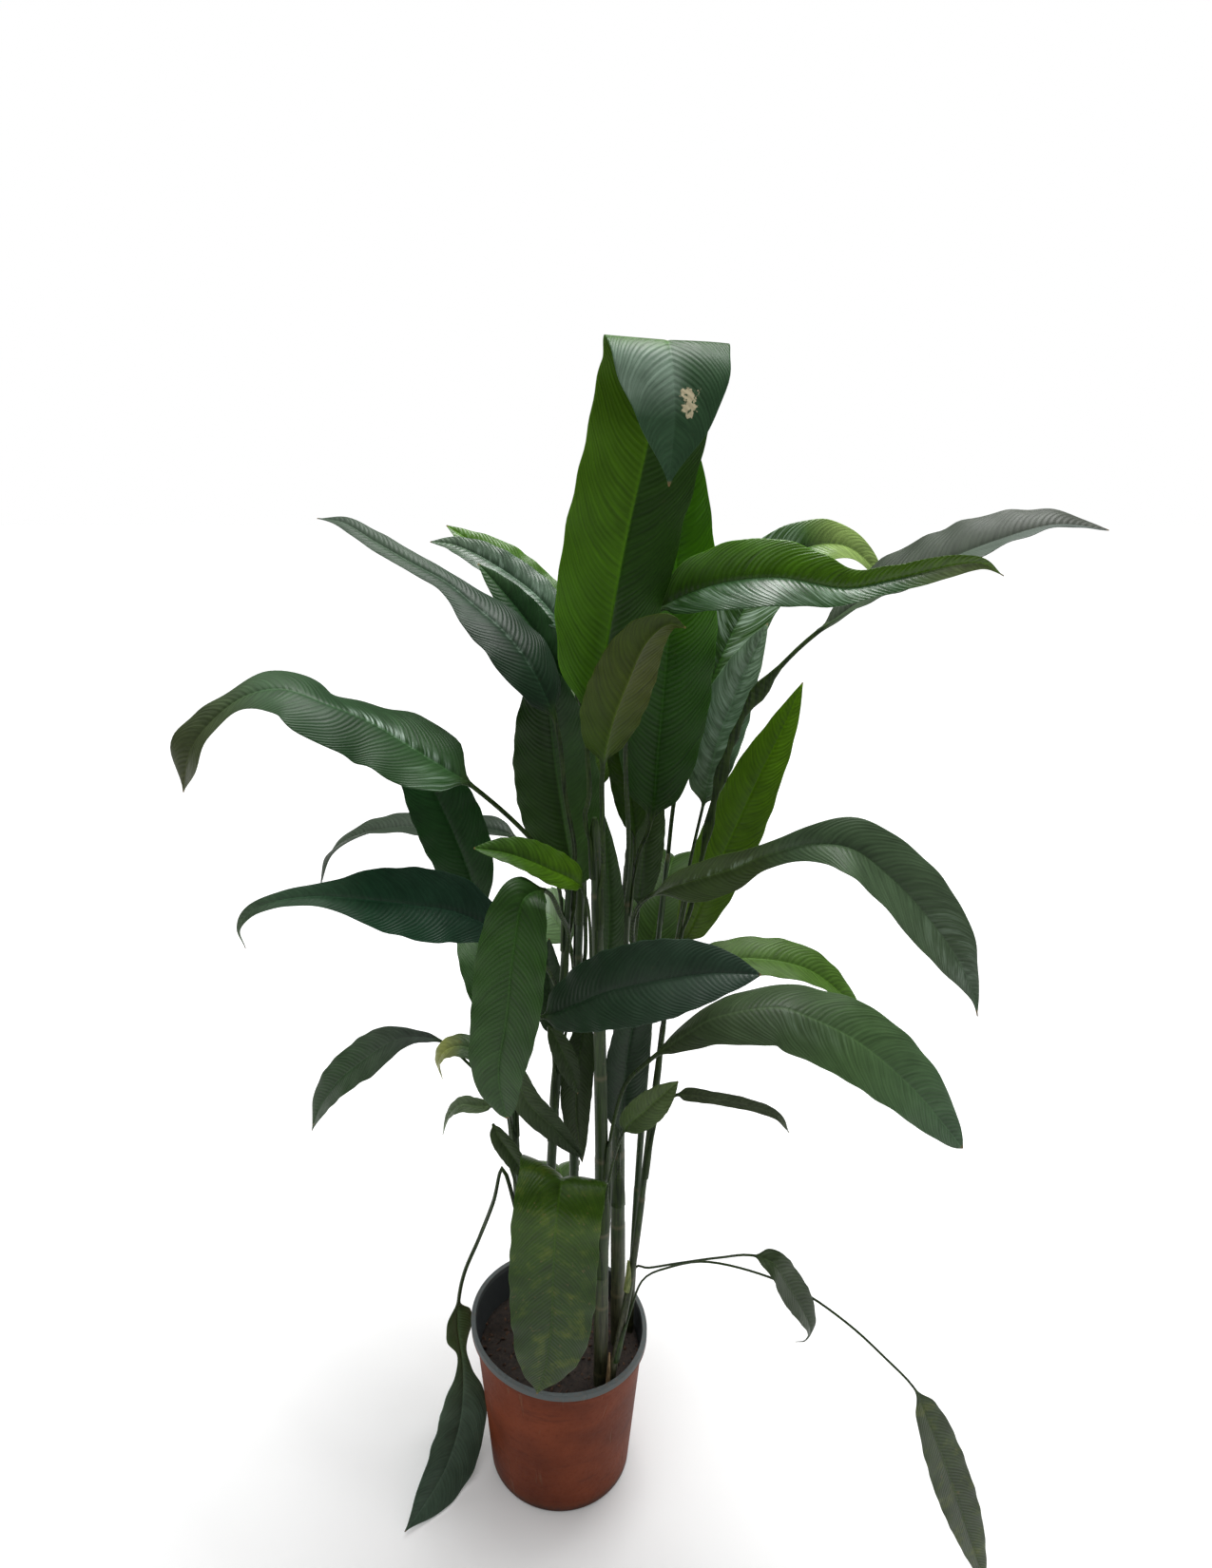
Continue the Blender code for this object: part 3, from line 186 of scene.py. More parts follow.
def lightStudio():
    world = bpy.data.worlds.new("surround")
    world.use_nodes = True
    nodes = Nodes(world.node_tree)
    direction = nodes.coordinates("Generated")
    _, depth, height = nodes.split(direction)
    glow = nodes.ramp(height, 0.0, 1.0, studio["horizonLight"], studio["overheadLight"])
    glow = nodes.times(glow, nodes.ramp(depth, *studio["frontFade"], studio["frontLight"], 1.0))
    toward = nodes.vector("DOT_PRODUCT", {0: direction, 1: tuple(unit(studio["patchFrom"]))})[1]
    patch = nodes.ramp(toward, *studio["patchEdge"], studio["dimLight"], studio["patchLight"])
    path = nodes.add("ShaderNodeLightPath").outputs
    strength = nodes.mixValue(path["Is Camera Ray"], nodes.mixValue(path["Is Glossy Ray"], glow, patch), 1.0)
    background = world.node_tree.nodes["Background"]
    nodes.put(background, "Color", (1, 1, 1, 1))
    nodes.put(background, "Strength", strength)
    bpy.context.scene.world = world
    for name, place, target, size, power in studio["lamps"]:
        light = bpy.data.lights.new(name, "AREA")
        light.size = size
        light.energy = power
        lamp = newObject(name, light)
        forward = unit(np.subtract(target, place))
        lamp.location = place
        lamp.rotation_euler = (math.acos(-forward[2]), 0, math.atan2(forward[0], -forward[1]))


placeCamera()
buildFloor()
lightStudio()
print("camera and studio set")


def newTree(name, kind, inputs, outputs):
    # The sockets' kinds stand under their names
    tree = bpy.data.node_groups.new(name, kind)
    for side, sockets in (("INPUT", inputs), ("OUTPUT", outputs)):
        for label, socket in sockets.items():
            tree.interface.new_socket(name=label, in_out=side, socket_type="NodeSocket" + socket)
    nodes = Nodes(tree)
    return tree, nodes, nodes.add("NodeGroupInput").outputs, nodes.add("NodeGroupOutput")


def shaderGroup(name, colors, values=()):
    # Every finish here is one group that puts out a colour, a roughness and a height for a Bump node
    inputs = {**dict.fromkeys(colors, "Color"), **dict.fromkeys(values, "Float")}
    return newTree(name, "ShaderNodeTree", inputs, dict(color="Color", roughness="Float", height="Float"))


def finished(nodes, made, color, roughness, height):
    for key, value in (("color", color), ("roughness", roughness), ("height", height)):
        nodes.put(made, key, value)


def material(name, group, values, bumpDepth, gloss=0.5, bumpStrength=0.6):
    made = bpy.data.materials.new(name)
    made.use_nodes = True
    nodes = Nodes(made.node_tree)
    shader = made.node_tree.nodes["Principled BSDF"]
    nodes.put(shader, "Specular IOR Level", gloss)
    finish = nodes.add("ShaderNodeGroup", node_tree=group)
    for key, value in values.items():
        nodes.put(finish, key, value)
    nodes.put(shader, "Base Color", finish.outputs["color"])
    nodes.put(shader, "Roughness", finish.outputs["roughness"])
    bump = nodes.add("ShaderNodeBump", {"Strength": bumpStrength, "Distance": bumpDepth,
                                        "Height": finish.outputs["height"]})
    nodes.put(shader, "Normal", bump.outputs[0])
    return made


def geometryTree(name, **inputs):
    return newTree(name, "GeometryNodeTree", {"Geometry": "Geometry", **inputs}, {"Geometry": "Geometry"})


def realized(nodes, made, geometry, paint):
    # Every geometry tree ends in real geometry that carries its material
    real = nodes.add("GeometryNodeRealizeInstances", {0: geometry}).outputs[0]
    painted = nodes.add("GeometryNodeSetMaterial", {"Geometry": real, "Material": paint}).outputs[0]
    nodes.put(made, 0, painted)


def plainMesh(helper):
    # Keeps only the mesh that the helper object's modifier makes
    graph = bpy.context.evaluated_depsgraph_get()
    mesh = bpy.data.meshes.new_from_object(helper.evaluated_get(graph), depsgraph=graph)
    bpy.data.objects.remove(helper, do_unlink=True)
    return mesh


def grown(name, source, tree, values):
    # Runs a geometry tree on a source mesh
    helper = newObject(name, source)
    modifier = helper.modifiers.new(tree.name, "NODES")
    modifier.node_group = tree
    sockets = {item.name: item.identifier for item in tree.interface.items_tree if item.in_out == "INPUT"}
    for label, value in values.items():
        modifier[sockets[label]] = value
    return plainMesh(helper)


def addPiece(name, mesh, node, paint=None):
    # A finished piece: smooth, at the origin, riding on the one body and standing in for its node
    if paint:
        mesh.materials.clear()
        mesh.materials.append(paint)
    mesh.polygons.foreach_set("use_smooth", [True] * len(mesh.polygons))
    mesh.update()
    piece = newObject(name, mesh)
    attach(piece, "root")
    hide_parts(node)


# Pot: a soft terracotta-coloured nursery pot with a grey lip, scuffed and a little dusty
pot = dict(
    height=0.256, baseRadius=0.098, topRadius=0.1145, wall=0.0018, floor=0.004, chamfer=0.0015, sides=112,
    rimHeight=0.014, rimOverhang=0.0045, rimTilt=0.085, lip=0.0012, clayBand=0.0045, bandEdge=0.0006,
    wallRings=22, insideRings=10, lipSteps=4, underRimStep=0.001, dent=0.0006, drains=8, drainCircle=0.070,
    drainRadius=0.005, drainSides=24, sharpAngle=1.2, bumpDepth=0.0016, gloss=0.12,
    cloudScale=11.0, clouds=(0.35, 0.68), fleckScale=190.0, flecks=(0.55, 0.75), fleckAmount=0.35,
    scratchScale=95.0, scratches=(0.66, 0.72), scratchAmount=0.30, creaseScale=42.0,
    # The crease values paint highlights and shade where the soft wall is dented
    creaseHighlights=(0.60, 0.68), creaseHighlightAmount=0.45, creaseShades=(0.42, 0.34), creaseShadeAmount=0.35,
    # The foot values paint a dark band at the bottom of the wall, partly dirt and partly painted contact
    # shadow
    dustHeight=0.035, dustAmount=0.4, footDirtShadeHeight=0.012, footDirtShadeWander=0.02, footDirtShadeAmount=0.75,
    roughness=(0.48, 0.2),
    tones=dict(clay=tone(94, 40, 17), clayLight=tone(120, 55, 27), clayDark=tone(66, 27, 12),
               lip=tone(92, 98, 98), inside=tone(74, 78, 80), dust=tone(122, 88, 64),
               foot=(0.012, 0.009, 0.007, 1)))


def potOuter(z):
    return pot["baseRadius"] + (pot["topRadius"] - pot["baseRadius"]) * z / pot["height"]


def potInner(z):
    return potOuter(z) - pot["wall"]


def potSurface():
    # Cloudy clay with dark flecks, pale scratches, dust low down, painted highlights and painted shade on
    # soft dents, and a dark line at the foot that is partly dirt and partly painted contact shadow
    group, n, given, made = shaderGroup("potSurface", pot["tones"])
    where = n.coordinates()
    rise = n.split(where)[2]
    cloud = n.noise(where, pot["cloudScale"], 4.0, 0.55)
    fleck = n.noise(where, pot["fleckScale"], 3.0, 0.6)
    scratch = n.noise(n.mapped(where, (1.0, 1.0, 0.10), (0.5, 0.3, 0.0)), pot["scratchScale"], 2.0)
    scratch = n.ramp(scratch, *pot["scratches"])
    dentShading = n.noise(n.mapped(where, (0.22, 0.22, 1.5), (0.25, -0.2, 0.0)), pot["creaseScale"], 3.0, 0.6)
    low = n.math("SUBTRACT", n.ramp(rise, 0.0, pot["dustHeight"], 1.0, 0.0), n.times(cloud, 0.7), True)
    # A dark line at the foot with a wandering top edge: partly dirt, partly painted contact shadow
    wander = n.swing(fleck, pot["footDirtShadeWander"])
    foot = n.ramp(n.plus(rise, wander), 0.0, pot["footDirtShadeHeight"], pot["footDirtShadeAmount"], 0.0)
    color = n.layered(
        n.mix(n.ramp(cloud, *pot["clouds"]), given["clay"], given["clayLight"]),
        (n.times(n.ramp(fleck, *pot["flecks"]), pot["fleckAmount"]), given["clayDark"]),
        (n.times(scratch, pot["scratchAmount"]), given["dust"]),
        (n.times(low, pot["dustAmount"], True), given["dust"]),
        # Painted highlights and painted shade on the dents
        (n.times(n.ramp(dentShading, *pot["creaseHighlights"]), pot["creaseHighlightAmount"]), given["clayLight"]),
        (n.times(n.ramp(dentShading, *pot["creaseShades"]), pot["creaseShadeAmount"]), given["clayDark"]),
        (foot, given["foot"]))
    zone = n.attribute("potZone")[2]
    lip = n.mix(n.ramp(fleck, 0.5, 0.9, 0.0, 0.4), given["lip"], given["dust"])
    color = n.layered(color, (n.ramp(zone, 0.45, 0.55), lip), (n.ramp(zone, 1.45, 1.55), given["inside"]))
    height = n.plus(n.times(cloud, 0.6), n.math("SUBTRACT", n.times(fleck, 0.3), scratch))
    least, swing = pot["roughness"]
    finished(n, made, color, n.plus(least, n.times(fleck, swing)), height)
    return group


def withDrains(shell):
    # Cuts the drain holes through the pot's floor
    plugs = bmesh.new()
    for k in range(pot["drains"]):
        angle = 2 * math.pi * (k + 0.5) / pot["drains"]
        place = (pot["drainCircle"] * math.cos(angle), pot["drainCircle"] * math.sin(angle), pot["floor"] / 2)
        bmesh.ops.create_cone(plugs, cap_ends=True, segments=pot["drainSides"], radius1=pot["drainRadius"],
                              radius2=pot["drainRadius"], depth=3 * pot["floor"],
                              matrix=Matrix.Translation(place))
    plugMesh = bpy.data.meshes.new("drainPlugs")
    plugs.to_mesh(plugMesh)
    plugs.free()
    helper, plugObject = newObject("pot_shell", shell), newObject("drainPlugs", plugMesh)
    cut = helper.modifiers.new("drains", "BOOLEAN")
    cut.operation, cut.solver, cut.object = "DIFFERENCE", "EXACT", plugObject
    mesh = plainMesh(helper)
    bpy.data.objects.remove(plugObject, do_unlink=True)
    mesh.set_sharp_from_angle(angle=pot["sharpAngle"])
    return mesh


def potProfile():
    # (radius, height, zone) from the middle of the underside, up the outside, over the lip and down again
    clay, grey, inside = 0.0, 1.0, 2.0
    lip, top, floor = pot["lip"], pot["height"] - pot["lip"], pot["floor"]
    underRim = pot["height"] - pot["rimHeight"]
    rimRadius = pot["topRadius"] + pot["rimOverhang"]
    band = underRim + pot["clayBand"]
    turns = [math.pi / 2 * k / pot["lipSteps"] for k in range(pot["lipSteps"] + 1)]
    middle = pot["baseRadius"] * 0.5
    profile = [(0.0, 0, clay), (middle, 0, clay), (pot["baseRadius"] - pot["chamfer"], 0, clay)]
    heights = np.linspace(pot["chamfer"], underRim - pot["underRimStep"], pot["wallRings"])
    profile += [(potOuter(z), z, clay) for z in (*heights, underRim)]
    profile += [(rimRadius - lip + lip * math.sin(t), underRim + lip - lip * math.cos(t), clay)
                for t in turns]
    profile += [(rimRadius, band, clay), (rimRadius, band + pot["bandEdge"], grey)]
    profile += [(rimRadius - lip + lip * math.cos(t), top + lip * math.sin(t), grey) for t in turns]
    profile += [(potInner(pot["height"]) + lip - lip * math.sin(t), top + lip * math.cos(t), grey)
                for t in turns]
    profile += [(potInner(z), z, inside) for z in np.linspace(underRim, floor, pot["insideRings"])]
    return profile + [(middle, floor, inside), (0.0, floor, inside)]


def buildPot():
    profile, sides = potProfile(), pot["sides"]
    points, zones, faces, starts = [], [], [], []
    for radius, z, zone in profile:
        starts.append(len(points))
        for j in range(sides if radius else 1):
            angle = 2 * math.pi * j / sides
            dent = pot["dent"] * math.sin(3 * angle + 0.6) * math.sin(math.pi * z / pot["height"])
            reach = radius + dent * (radius > 0)
            x, y = reach * math.cos(angle), reach * math.sin(angle)
            points.append((x, y, z * (1 - pot["rimTilt"] * x / pot["height"])))
            zones.append(zone)
    for i in range(len(profile) - 1):
        a, b = starts[i], starts[i + 1]
        for j in range(sides):
            k = (j + 1) % sides
            if profile[i][0] == 0:
                faces.append((a, b + k, b + j))
            elif profile[i + 1][0] == 0:
                faces.append((a + j, a + k, b))
            else:
                faces.append((a + j, a + k, b + k, b + j))
    mesh = bpy.data.meshes.new("pot_shell")
    mesh.from_pydata(points, [], faces)
    mesh.attributes.new("potZone", "FLOAT", "POINT").data.foreach_set("value", zones)
    paint = material("potPlastic", potSurface(), pot["tones"], pot["bumpDepth"], pot["gloss"])
    addPiece("pot_shell", withDrains(mesh), "pot", paint)


buildPot()
print("pot made")

# Soil: dark potting mix, lumpy, with chips of bark and grit scattered over it (density, size)
soil = dict(
    top=0.205, mound=0.010, lump=0.0022, clearance=0.0006, rings=34, sides=112, seed=7,
    chips=(5200.0, 0.0042), grit=(9000.0, 0.0019), chipRoughness=900.0,
    chipTurns=((0, 0, 0), (6.28, 6.28, 6.28)), chipStretch=((0.5, 0.25, 0.2), (1.6, 0.8, 0.5)),
    crumbScale=160.0, crumbs=(0.35, 0.7), broadScale=22.0, darkPatches=(0.5, 0.75), darkAmount=0.4,
    straws=(0.70, 0.74), strawAmount=0.5, roughness=(0.75, 0.2),
    mixDepth=0.004, mixTones=dict(dark=tone(30, 24, 21), light=tone(62, 50, 42), straw=tone(110, 88, 62)),
    barkDepth=0.001, barkTones=dict(dark=tone(48, 34, 26), light=tone(96, 68, 48), straw=tone(140, 112, 80)))


def soilSurface():
    group, n, given, made = shaderGroup("soilSurface", soil["mixTones"])
    where = n.coordinates()
    crumb = n.noise(where, soil["crumbScale"], 6.0, 0.7)
    broad = n.noise(where, soil["broadScale"], 3.0)
    color = n.layered(
        n.mix(n.ramp(crumb, *soil["crumbs"]), given["dark"], given["light"]),
        (n.times(n.ramp(broad, *soil["darkPatches"]), soil["darkAmount"]), given["dark"]),
        (n.times(n.ramp(crumb, *soil["straws"]), soil["strawAmount"]), given["straw"]))
    least, swing = soil["roughness"]
    finished(n, made, color, n.plus(least, n.times(crumb, swing)), crumb)
    return group


def soilHeight(x, y):
    lumps = math.sin(97 * x + 1.3) * math.sin(83 * y + 0.4)
    lumps += 0.6 * math.sin(171 * x) * math.sin(140 * y + 1.6)
    crumbs = 0.5 * math.sin(410 * x + 3 * math.sin(300 * y)) * math.sin(380 * y + 2 * math.sin(250 * x))
    reach = (x * x + y * y) / potInner(soil["top"]) ** 2
    return soil["top"] + soil["mound"] * (1 - reach) + soil["lump"] * (lumps + crumbs) - soil["clearance"]


def chipTree():
    # Rough little lumps, turned and stretched at random, on the faces that look up
    tree, n, given, made = geometryTree("scatterChips", density="Float", size="Float", seed="Int",
                                        paint="Material")
    up = n.split(n.add("GeometryNodeInputNormal").outputs[0])[2]
    topOnly = n.add("FunctionNodeCompare", {0: up, 1: 0.5}, operation="GREATER_THAN").outputs[0]
    points = n.add("GeometryNodeDistributePointsOnFaces", {
        "Mesh": given["Geometry"], "Selection": topOnly, "Density": given["density"], "Seed": given["seed"]})
    chip = n.add("GeometryNodeMeshIcoSphere", {"Radius": given["size"], "Subdivisions": 1}).outputs[0]
    rough = n.add("ShaderNodeTexNoise", {"Scale": soil["chipRoughness"]}).outputs[1]
    offset = n.vector("SUBTRACT", {0: rough, 1: (0.5, 0.5, 0.5)})[0]
    amount = n.vector("SCALE", {0: offset, 3: given["size"]})[0]
    chip = n.add("GeometryNodeSetPosition", {"Geometry": chip, "Offset": amount}).outputs[0]
    spin, shape = (n.add("FunctionNodeRandomValue", {0: least, 1: most, "Seed": given["seed"]},
                         data_type="FLOAT_VECTOR").outputs[0]
                   for least, most in (soil["chipTurns"], soil["chipStretch"]))
    placed = n.add("GeometryNodeInstanceOnPoints", {"Points": points.outputs[0], "Instance": chip,
                                                    "Rotation": spin, "Scale": shape}).outputs[0]
    realized(n, made, placed, given["paint"])
    return tree


def buildSoil():
    rings, sides = soil["rings"], soil["sides"]
    ways = [(math.cos(2 * math.pi * j / sides), math.sin(2 * math.pi * j / sides)) for j in range(sides)]
    edge = potInner(soil["top"]) - soil["clearance"]
    points = [(0, 0, soilHeight(0, 0))]
    for i in range(1, rings + 1):
        radius = edge * i / rings
        points += [(radius * x, radius * y, soilHeight(radius * x, radius * y)) for x, y in ways]
    base = pot["floor"] + soil["clearance"]
    radius = potInner(base) - 3 * soil["clearance"]
    points += [(radius * x, radius * y, base) for x, y in ways] + [(0, 0, base)]
    faces = [(0, 1 + j, 1 + (j + 1) % sides) for j in range(sides)]
    for i in range(rings):
        a = 1 + i * sides
        for j in range(sides):
            k = (j + 1) % sides
            faces.append((a + j, a + sides + j, a + sides + k, a + k))
    last = len(points) - 1
    faces += [(last - sides + (j + 1) % sides, last - sides + j, last) for j in range(sides)]
    mesh = bpy.data.meshes.new("soil_bed")
    mesh.from_pydata(points, [], faces)
    surface, tree = soilSurface(), chipTree()
    mix = material("pottingMix", surface, soil["mixTones"], soil["mixDepth"])
    bark = material("barkChips", surface, soil["barkTones"], soil["barkDepth"])
    loose = {}
    for name, (density, size), seed, paint in (("bark_chips", soil["chips"], soil["seed"], bark),
                                               ("soil_grit", soil["grit"], soil["seed"] + 1, mix)):
        loose[name] = grown(name, mesh.copy(), tree, dict(density=density, size=size, seed=seed, paint=paint))
    addPiece("soil_bed", mesh, "soil", mix)
    for name, scattered in loose.items():
        addPiece(name, scattered, "soil")
        print(name + ":", len(scattered.polygons), "faces")
    print("soil made")


buildSoil()

# Stems, the same as in the solids: the thickness, the place in the pot and the way up, in millimetres. The
# first dictionary holds what they share, in metres.
stem = dict(
    seatGap=0.0003, foot=0.165, ground=0.235, taper=0.45, taperPower=1.5, axisReach=0.010, sides=20,
    step=0.005, ribs=9, ribDepth=0.018, sheathEvery=0.118, sheathShift=0.37, sheathStep=0.0005,
    sheathEdge=0.955, roundFrom=0.985, roundTo=0.45, streakScale=520.0, streaks=(0.35, 0.65),
    patchScale=24.0, turnWander=0.35, turnSharpness=6.0, fleckScale=130.0, flecks=(0.64, 0.70),
    fleckAmount=0.35, edgeAmount=0.7, roughness=(0.36, 0.22), bumpDepth=0.0006, gloss=0.3, tones={
        "stem_brown": dict(low=tone(40, 42, 26), lowLight=tone(74, 76, 52), high=tone(24, 44, 12),
                           highLight=tone(50, 72, 26), scar=tone(92, 88, 62), turn=0.30),
        "stem_green": dict(low=tone(38, 42, 22), lowLight=tone(66, 70, 42), high=tone(20, 42, 12),
                           highLight=tone(42, 68, 24), scar=tone(82, 84, 54), turn=0.25)})
stems = {
    "stem_front": dict(radius=9.5, foot=(55, -60), path=[(52, -55, 600), (45, -50, 870), (40, -48, 1030)]),
    "stem_red": dict(radius=10, foot=(80, 2), path=[(74, 4, 600), (75, 10, 800), (80, 15, 950)]),
    "stem_right": dict(radius=5, foot=(69, -75), path=[(92, -45, 380), (112, -20, 600), (130, 0, 800),
                                                       (148, 12, 920)]),
    "stem_right_back": dict(radius=5, foot=(98, 25), path=[(104, 35, 500), (115, 50, 750), (128, 65, 930)]),
    "stem_left": dict(radius=5.5, foot=(0, -55), path=[(-30, -45, 400), (-48, -35, 550), (-56, -28, 740)]),
    "stem_middle": dict(radius=7, foot=(-15, 0), path=[(-10, 0, 500), (4, 0, 750), (14, 0, 930)]),
    "stem_back": dict(radius=7, foot=(22, 55), path=[(20, 58, 500), (25, 60, 800), (31, 62, 1000)]),
    "stem_left_back": dict(radius=6, foot=(-48, 45), path=[(-56, 50, 450), (-60, 55, 700), (-58, 60, 790)]),
    "stem_far_back": dict(radius=5.5, foot=(62, 80), path=[(74, 95, 500), (92, 105, 720)]),
}
curveSteps = 24


def readAt(x, places, rows):
    # Reads the three columns of the rows at x
    return np.stack([np.interp(x, places, rows[:, k]) for k in range(3)], axis=-1)


def smoothCurve(points):
    # A rounded line through all the points, in short straight steps
    knots = np.asarray(points, float)
    knots = np.vstack([2 * knots[0] - knots[1], knots, 2 * knots[-1] - knots[-2]])
    curve = []
    for i in range(1, len(knots) - 2):
        p0, p1, p2, p3 = knots[i - 1:i + 3]
        t0 = 0.0
        t1 = t0 + np.linalg.norm(p1 - p0) ** 0.5
        t2 = t1 + np.linalg.norm(p2 - p1) ** 0.5
        t3 = t2 + np.linalg.norm(p3 - p2) ** 0.5
        for t in np.linspace(t1, t2, curveSteps, endpoint=False):
            a1 = (t1 - t) / (t1 - t0) * p0 + (t - t0) / (t1 - t0) * p1
            a2 = (t2 - t) / (t2 - t1) * p1 + (t - t1) / (t2 - t1) * p2
            a3 = (t3 - t) / (t3 - t2) * p2 + (t - t2) / (t3 - t2) * p3
            b1 = (t2 - t) / (t2 - t0) * a1 + (t - t0) / (t2 - t0) * a2
            b2 = (t3 - t) / (t3 - t1) * a2 + (t - t1) / (t3 - t1) * a3
            curve.append((t2 - t) / (t2 - t1) * b1 + (t - t1) / (t2 - t1) * b2)
    curve.append(knots[-2])
    return np.array(curve)


def stemCurve(name):
    x, y = metres(stems[name]["foot"])
    return smoothCurve([(x, y, stem["foot"]), (x, y, stem["ground"]), *metres(stems[name]["path"])])


stemCurves = {name: stemCurve(name) for name in stems}


def stemAxis(name, height):
    curve = stemCurves[name]
    heights = (height - stem["axisReach"], height, height + stem["axisReach"])
    below, at, above = (readAt(z, curve[:, 2], curve) for z in heights)
    return at, unit(above - below)


def stemRadius(name, height):
    top = metres(stems[name]["path"][-1][2])
    rise = np.clip((height - stem["ground"]) / (top - stem["ground"]), 0, 1)
    return metres(stems[name]["radius"]) * (1 - stem["taper"] * rise ** stem["taperPower"])


def stemSurface():
    # Streaked, brown low down and green from the height of turn on, with pale flecks and sheath edges
    group, n, given, made = shaderGroup("stemSurface", ("low", "lowLight", "high", "highLight", "scar"),
                                        ("turn",))
    where = n.coordinates()
    streak = n.noise(n.mapped(where, (1.0, 1.0, 0.05)), stem["streakScale"], 3.0)
    patch = n.noise(where, stem["patchScale"], 4.0)
    streaks = n.ramp(streak, *stem["streaks"])
    wander = n.plus(n.split(where)[2], n.swing(patch, stem["turnWander"]))
    rise = n.times(n.math("SUBTRACT", wander, given["turn"]), stem["turnSharpness"], True)
    flecks = n.ramp(n.noise(where, stem["fleckScale"], 2.0), *stem["flecks"])
    color = n.layered(
        n.mix(streaks, given["low"], given["lowLight"]),
        (rise, n.mix(streaks, given["high"], given["highLight"])),
        (n.times(flecks, stem["fleckAmount"]), given["scar"]),
        (n.times(n.attribute("sheathEdge")[2], stem["edgeAmount"]), given["scar"]))
    least, swing = stem["roughness"]
    finished(n, made, color, n.plus(least, n.times(patch, swing)), streak)
    return group


def stalkTree():
    # A ribbed stalk swept along its line: it tapers with height and steps in above each sheath's edge
    floats = ("radius", "taper", "ground", "top", "step", "ribs", "ribDepth", "sheathEvery", "sheathStep",
              "sheathStart")
    tree, n, given, made = geometryTree("ribbedStalk", **dict.fromkeys(floats, "Float"), sides="Int",
                                        paint="Material")
    line = n.add("GeometryNodeMeshToCurve", {0: given["Geometry"]}).outputs[0]
    line = n.add("GeometryNodeResampleCurve", {"Curve": line, "Length": given["step"]},
                 mode="LENGTH").outputs[0]
    climbed = n.math("SUBTRACT", n.split(n.add("GeometryNodeInputPosition").outputs[0])[2], given["ground"])
    rise = n.math("DIVIDE", climbed, n.math("SUBTRACT", given["top"], given["ground"]), True)
    narrow = n.times(given["taper"], n.math("POWER", rise, stem["taperPower"]))
    radius = n.times(given["radius"], n.math("SUBTRACT", 1.0, narrow))
    beat = n.math("FRACT", n.plus(n.math("DIVIDE", climbed, given["sheathEvery"]), given["sheathStart"]))
    radius = n.plus(radius, n.times(n.math("SUBTRACT", beat, 0.8), given["sheathStep"]))
    radius = n.times(radius, n.ramp(rise, stem["roundFrom"], 1.0, 1.0, stem["roundTo"]))
    line = n.add("GeometryNodeStoreNamedAttribute", {
        "Geometry": line, "Name": "sheathEdge", "Value": n.math("GREATER_THAN", beat, stem["sheathEdge"])},
        data_type="FLOAT", domain="POINT").outputs[0]
    ring = n.add("GeometryNodeCurvePrimitiveCircle", {"Resolution": given["sides"], "Radius": 1.0}).outputs[0]
    turn = n.times(n.times(n.add("GeometryNodeSplineParameter").outputs[0], given["ribs"]), 2 * math.pi)
    ribbed = n.plus(1.0, n.times(n.math("COSINE", turn), given["ribDepth"]))
    spot = n.vector("SCALE", {0: n.add("GeometryNodeInputPosition").outputs[0], 3: ribbed})[0]
    ring = n.add("GeometryNodeSetPosition", {"Geometry": ring, "Position": spot}).outputs[0]
    swept = n.add("GeometryNodeCurveToMesh", {"Curve": line, "Profile Curve": ring, "Scale": radius,
                                              "Fill Caps": True}).outputs[0]
    realized(n, made, swept, given["paint"])
    return tree


def buildStems():
    surface, tree = stemSurface(), stalkTree()
    paints = {slot: material(name, surface, stem["tones"][slot], stem["bumpDepth"], stem["gloss"])
              for slot, name in (("stem_brown", "stemBrown"), ("stem_green", "stemGreen"))}
    shared = {key: float(stem[key]) for key in ("taper", "ground", "step", "ribs", "ribDepth", "sheathEvery",
                                                "sheathStep")}
    for order, (name, way) in enumerate(stems.items()):
        values = dict(shared, sides=stem["sides"], sheathStart=stem["sheathShift"] * order,
                      radius=float(metres(way["radius"])), top=float(metres(way["path"][-1][2])),
                      paint=paints[slots[name]])
        line, curve = bpy.data.meshes.new(name), stemCurves[name]
        line.from_pydata(curve.tolist(), [(i, i + 1) for i in range(len(curve) - 1)], [])
        addPiece(name + "_stalk", grown(name + "_stalk", line, tree, values), name)
    print("stems made:", len(stems))


buildStems()
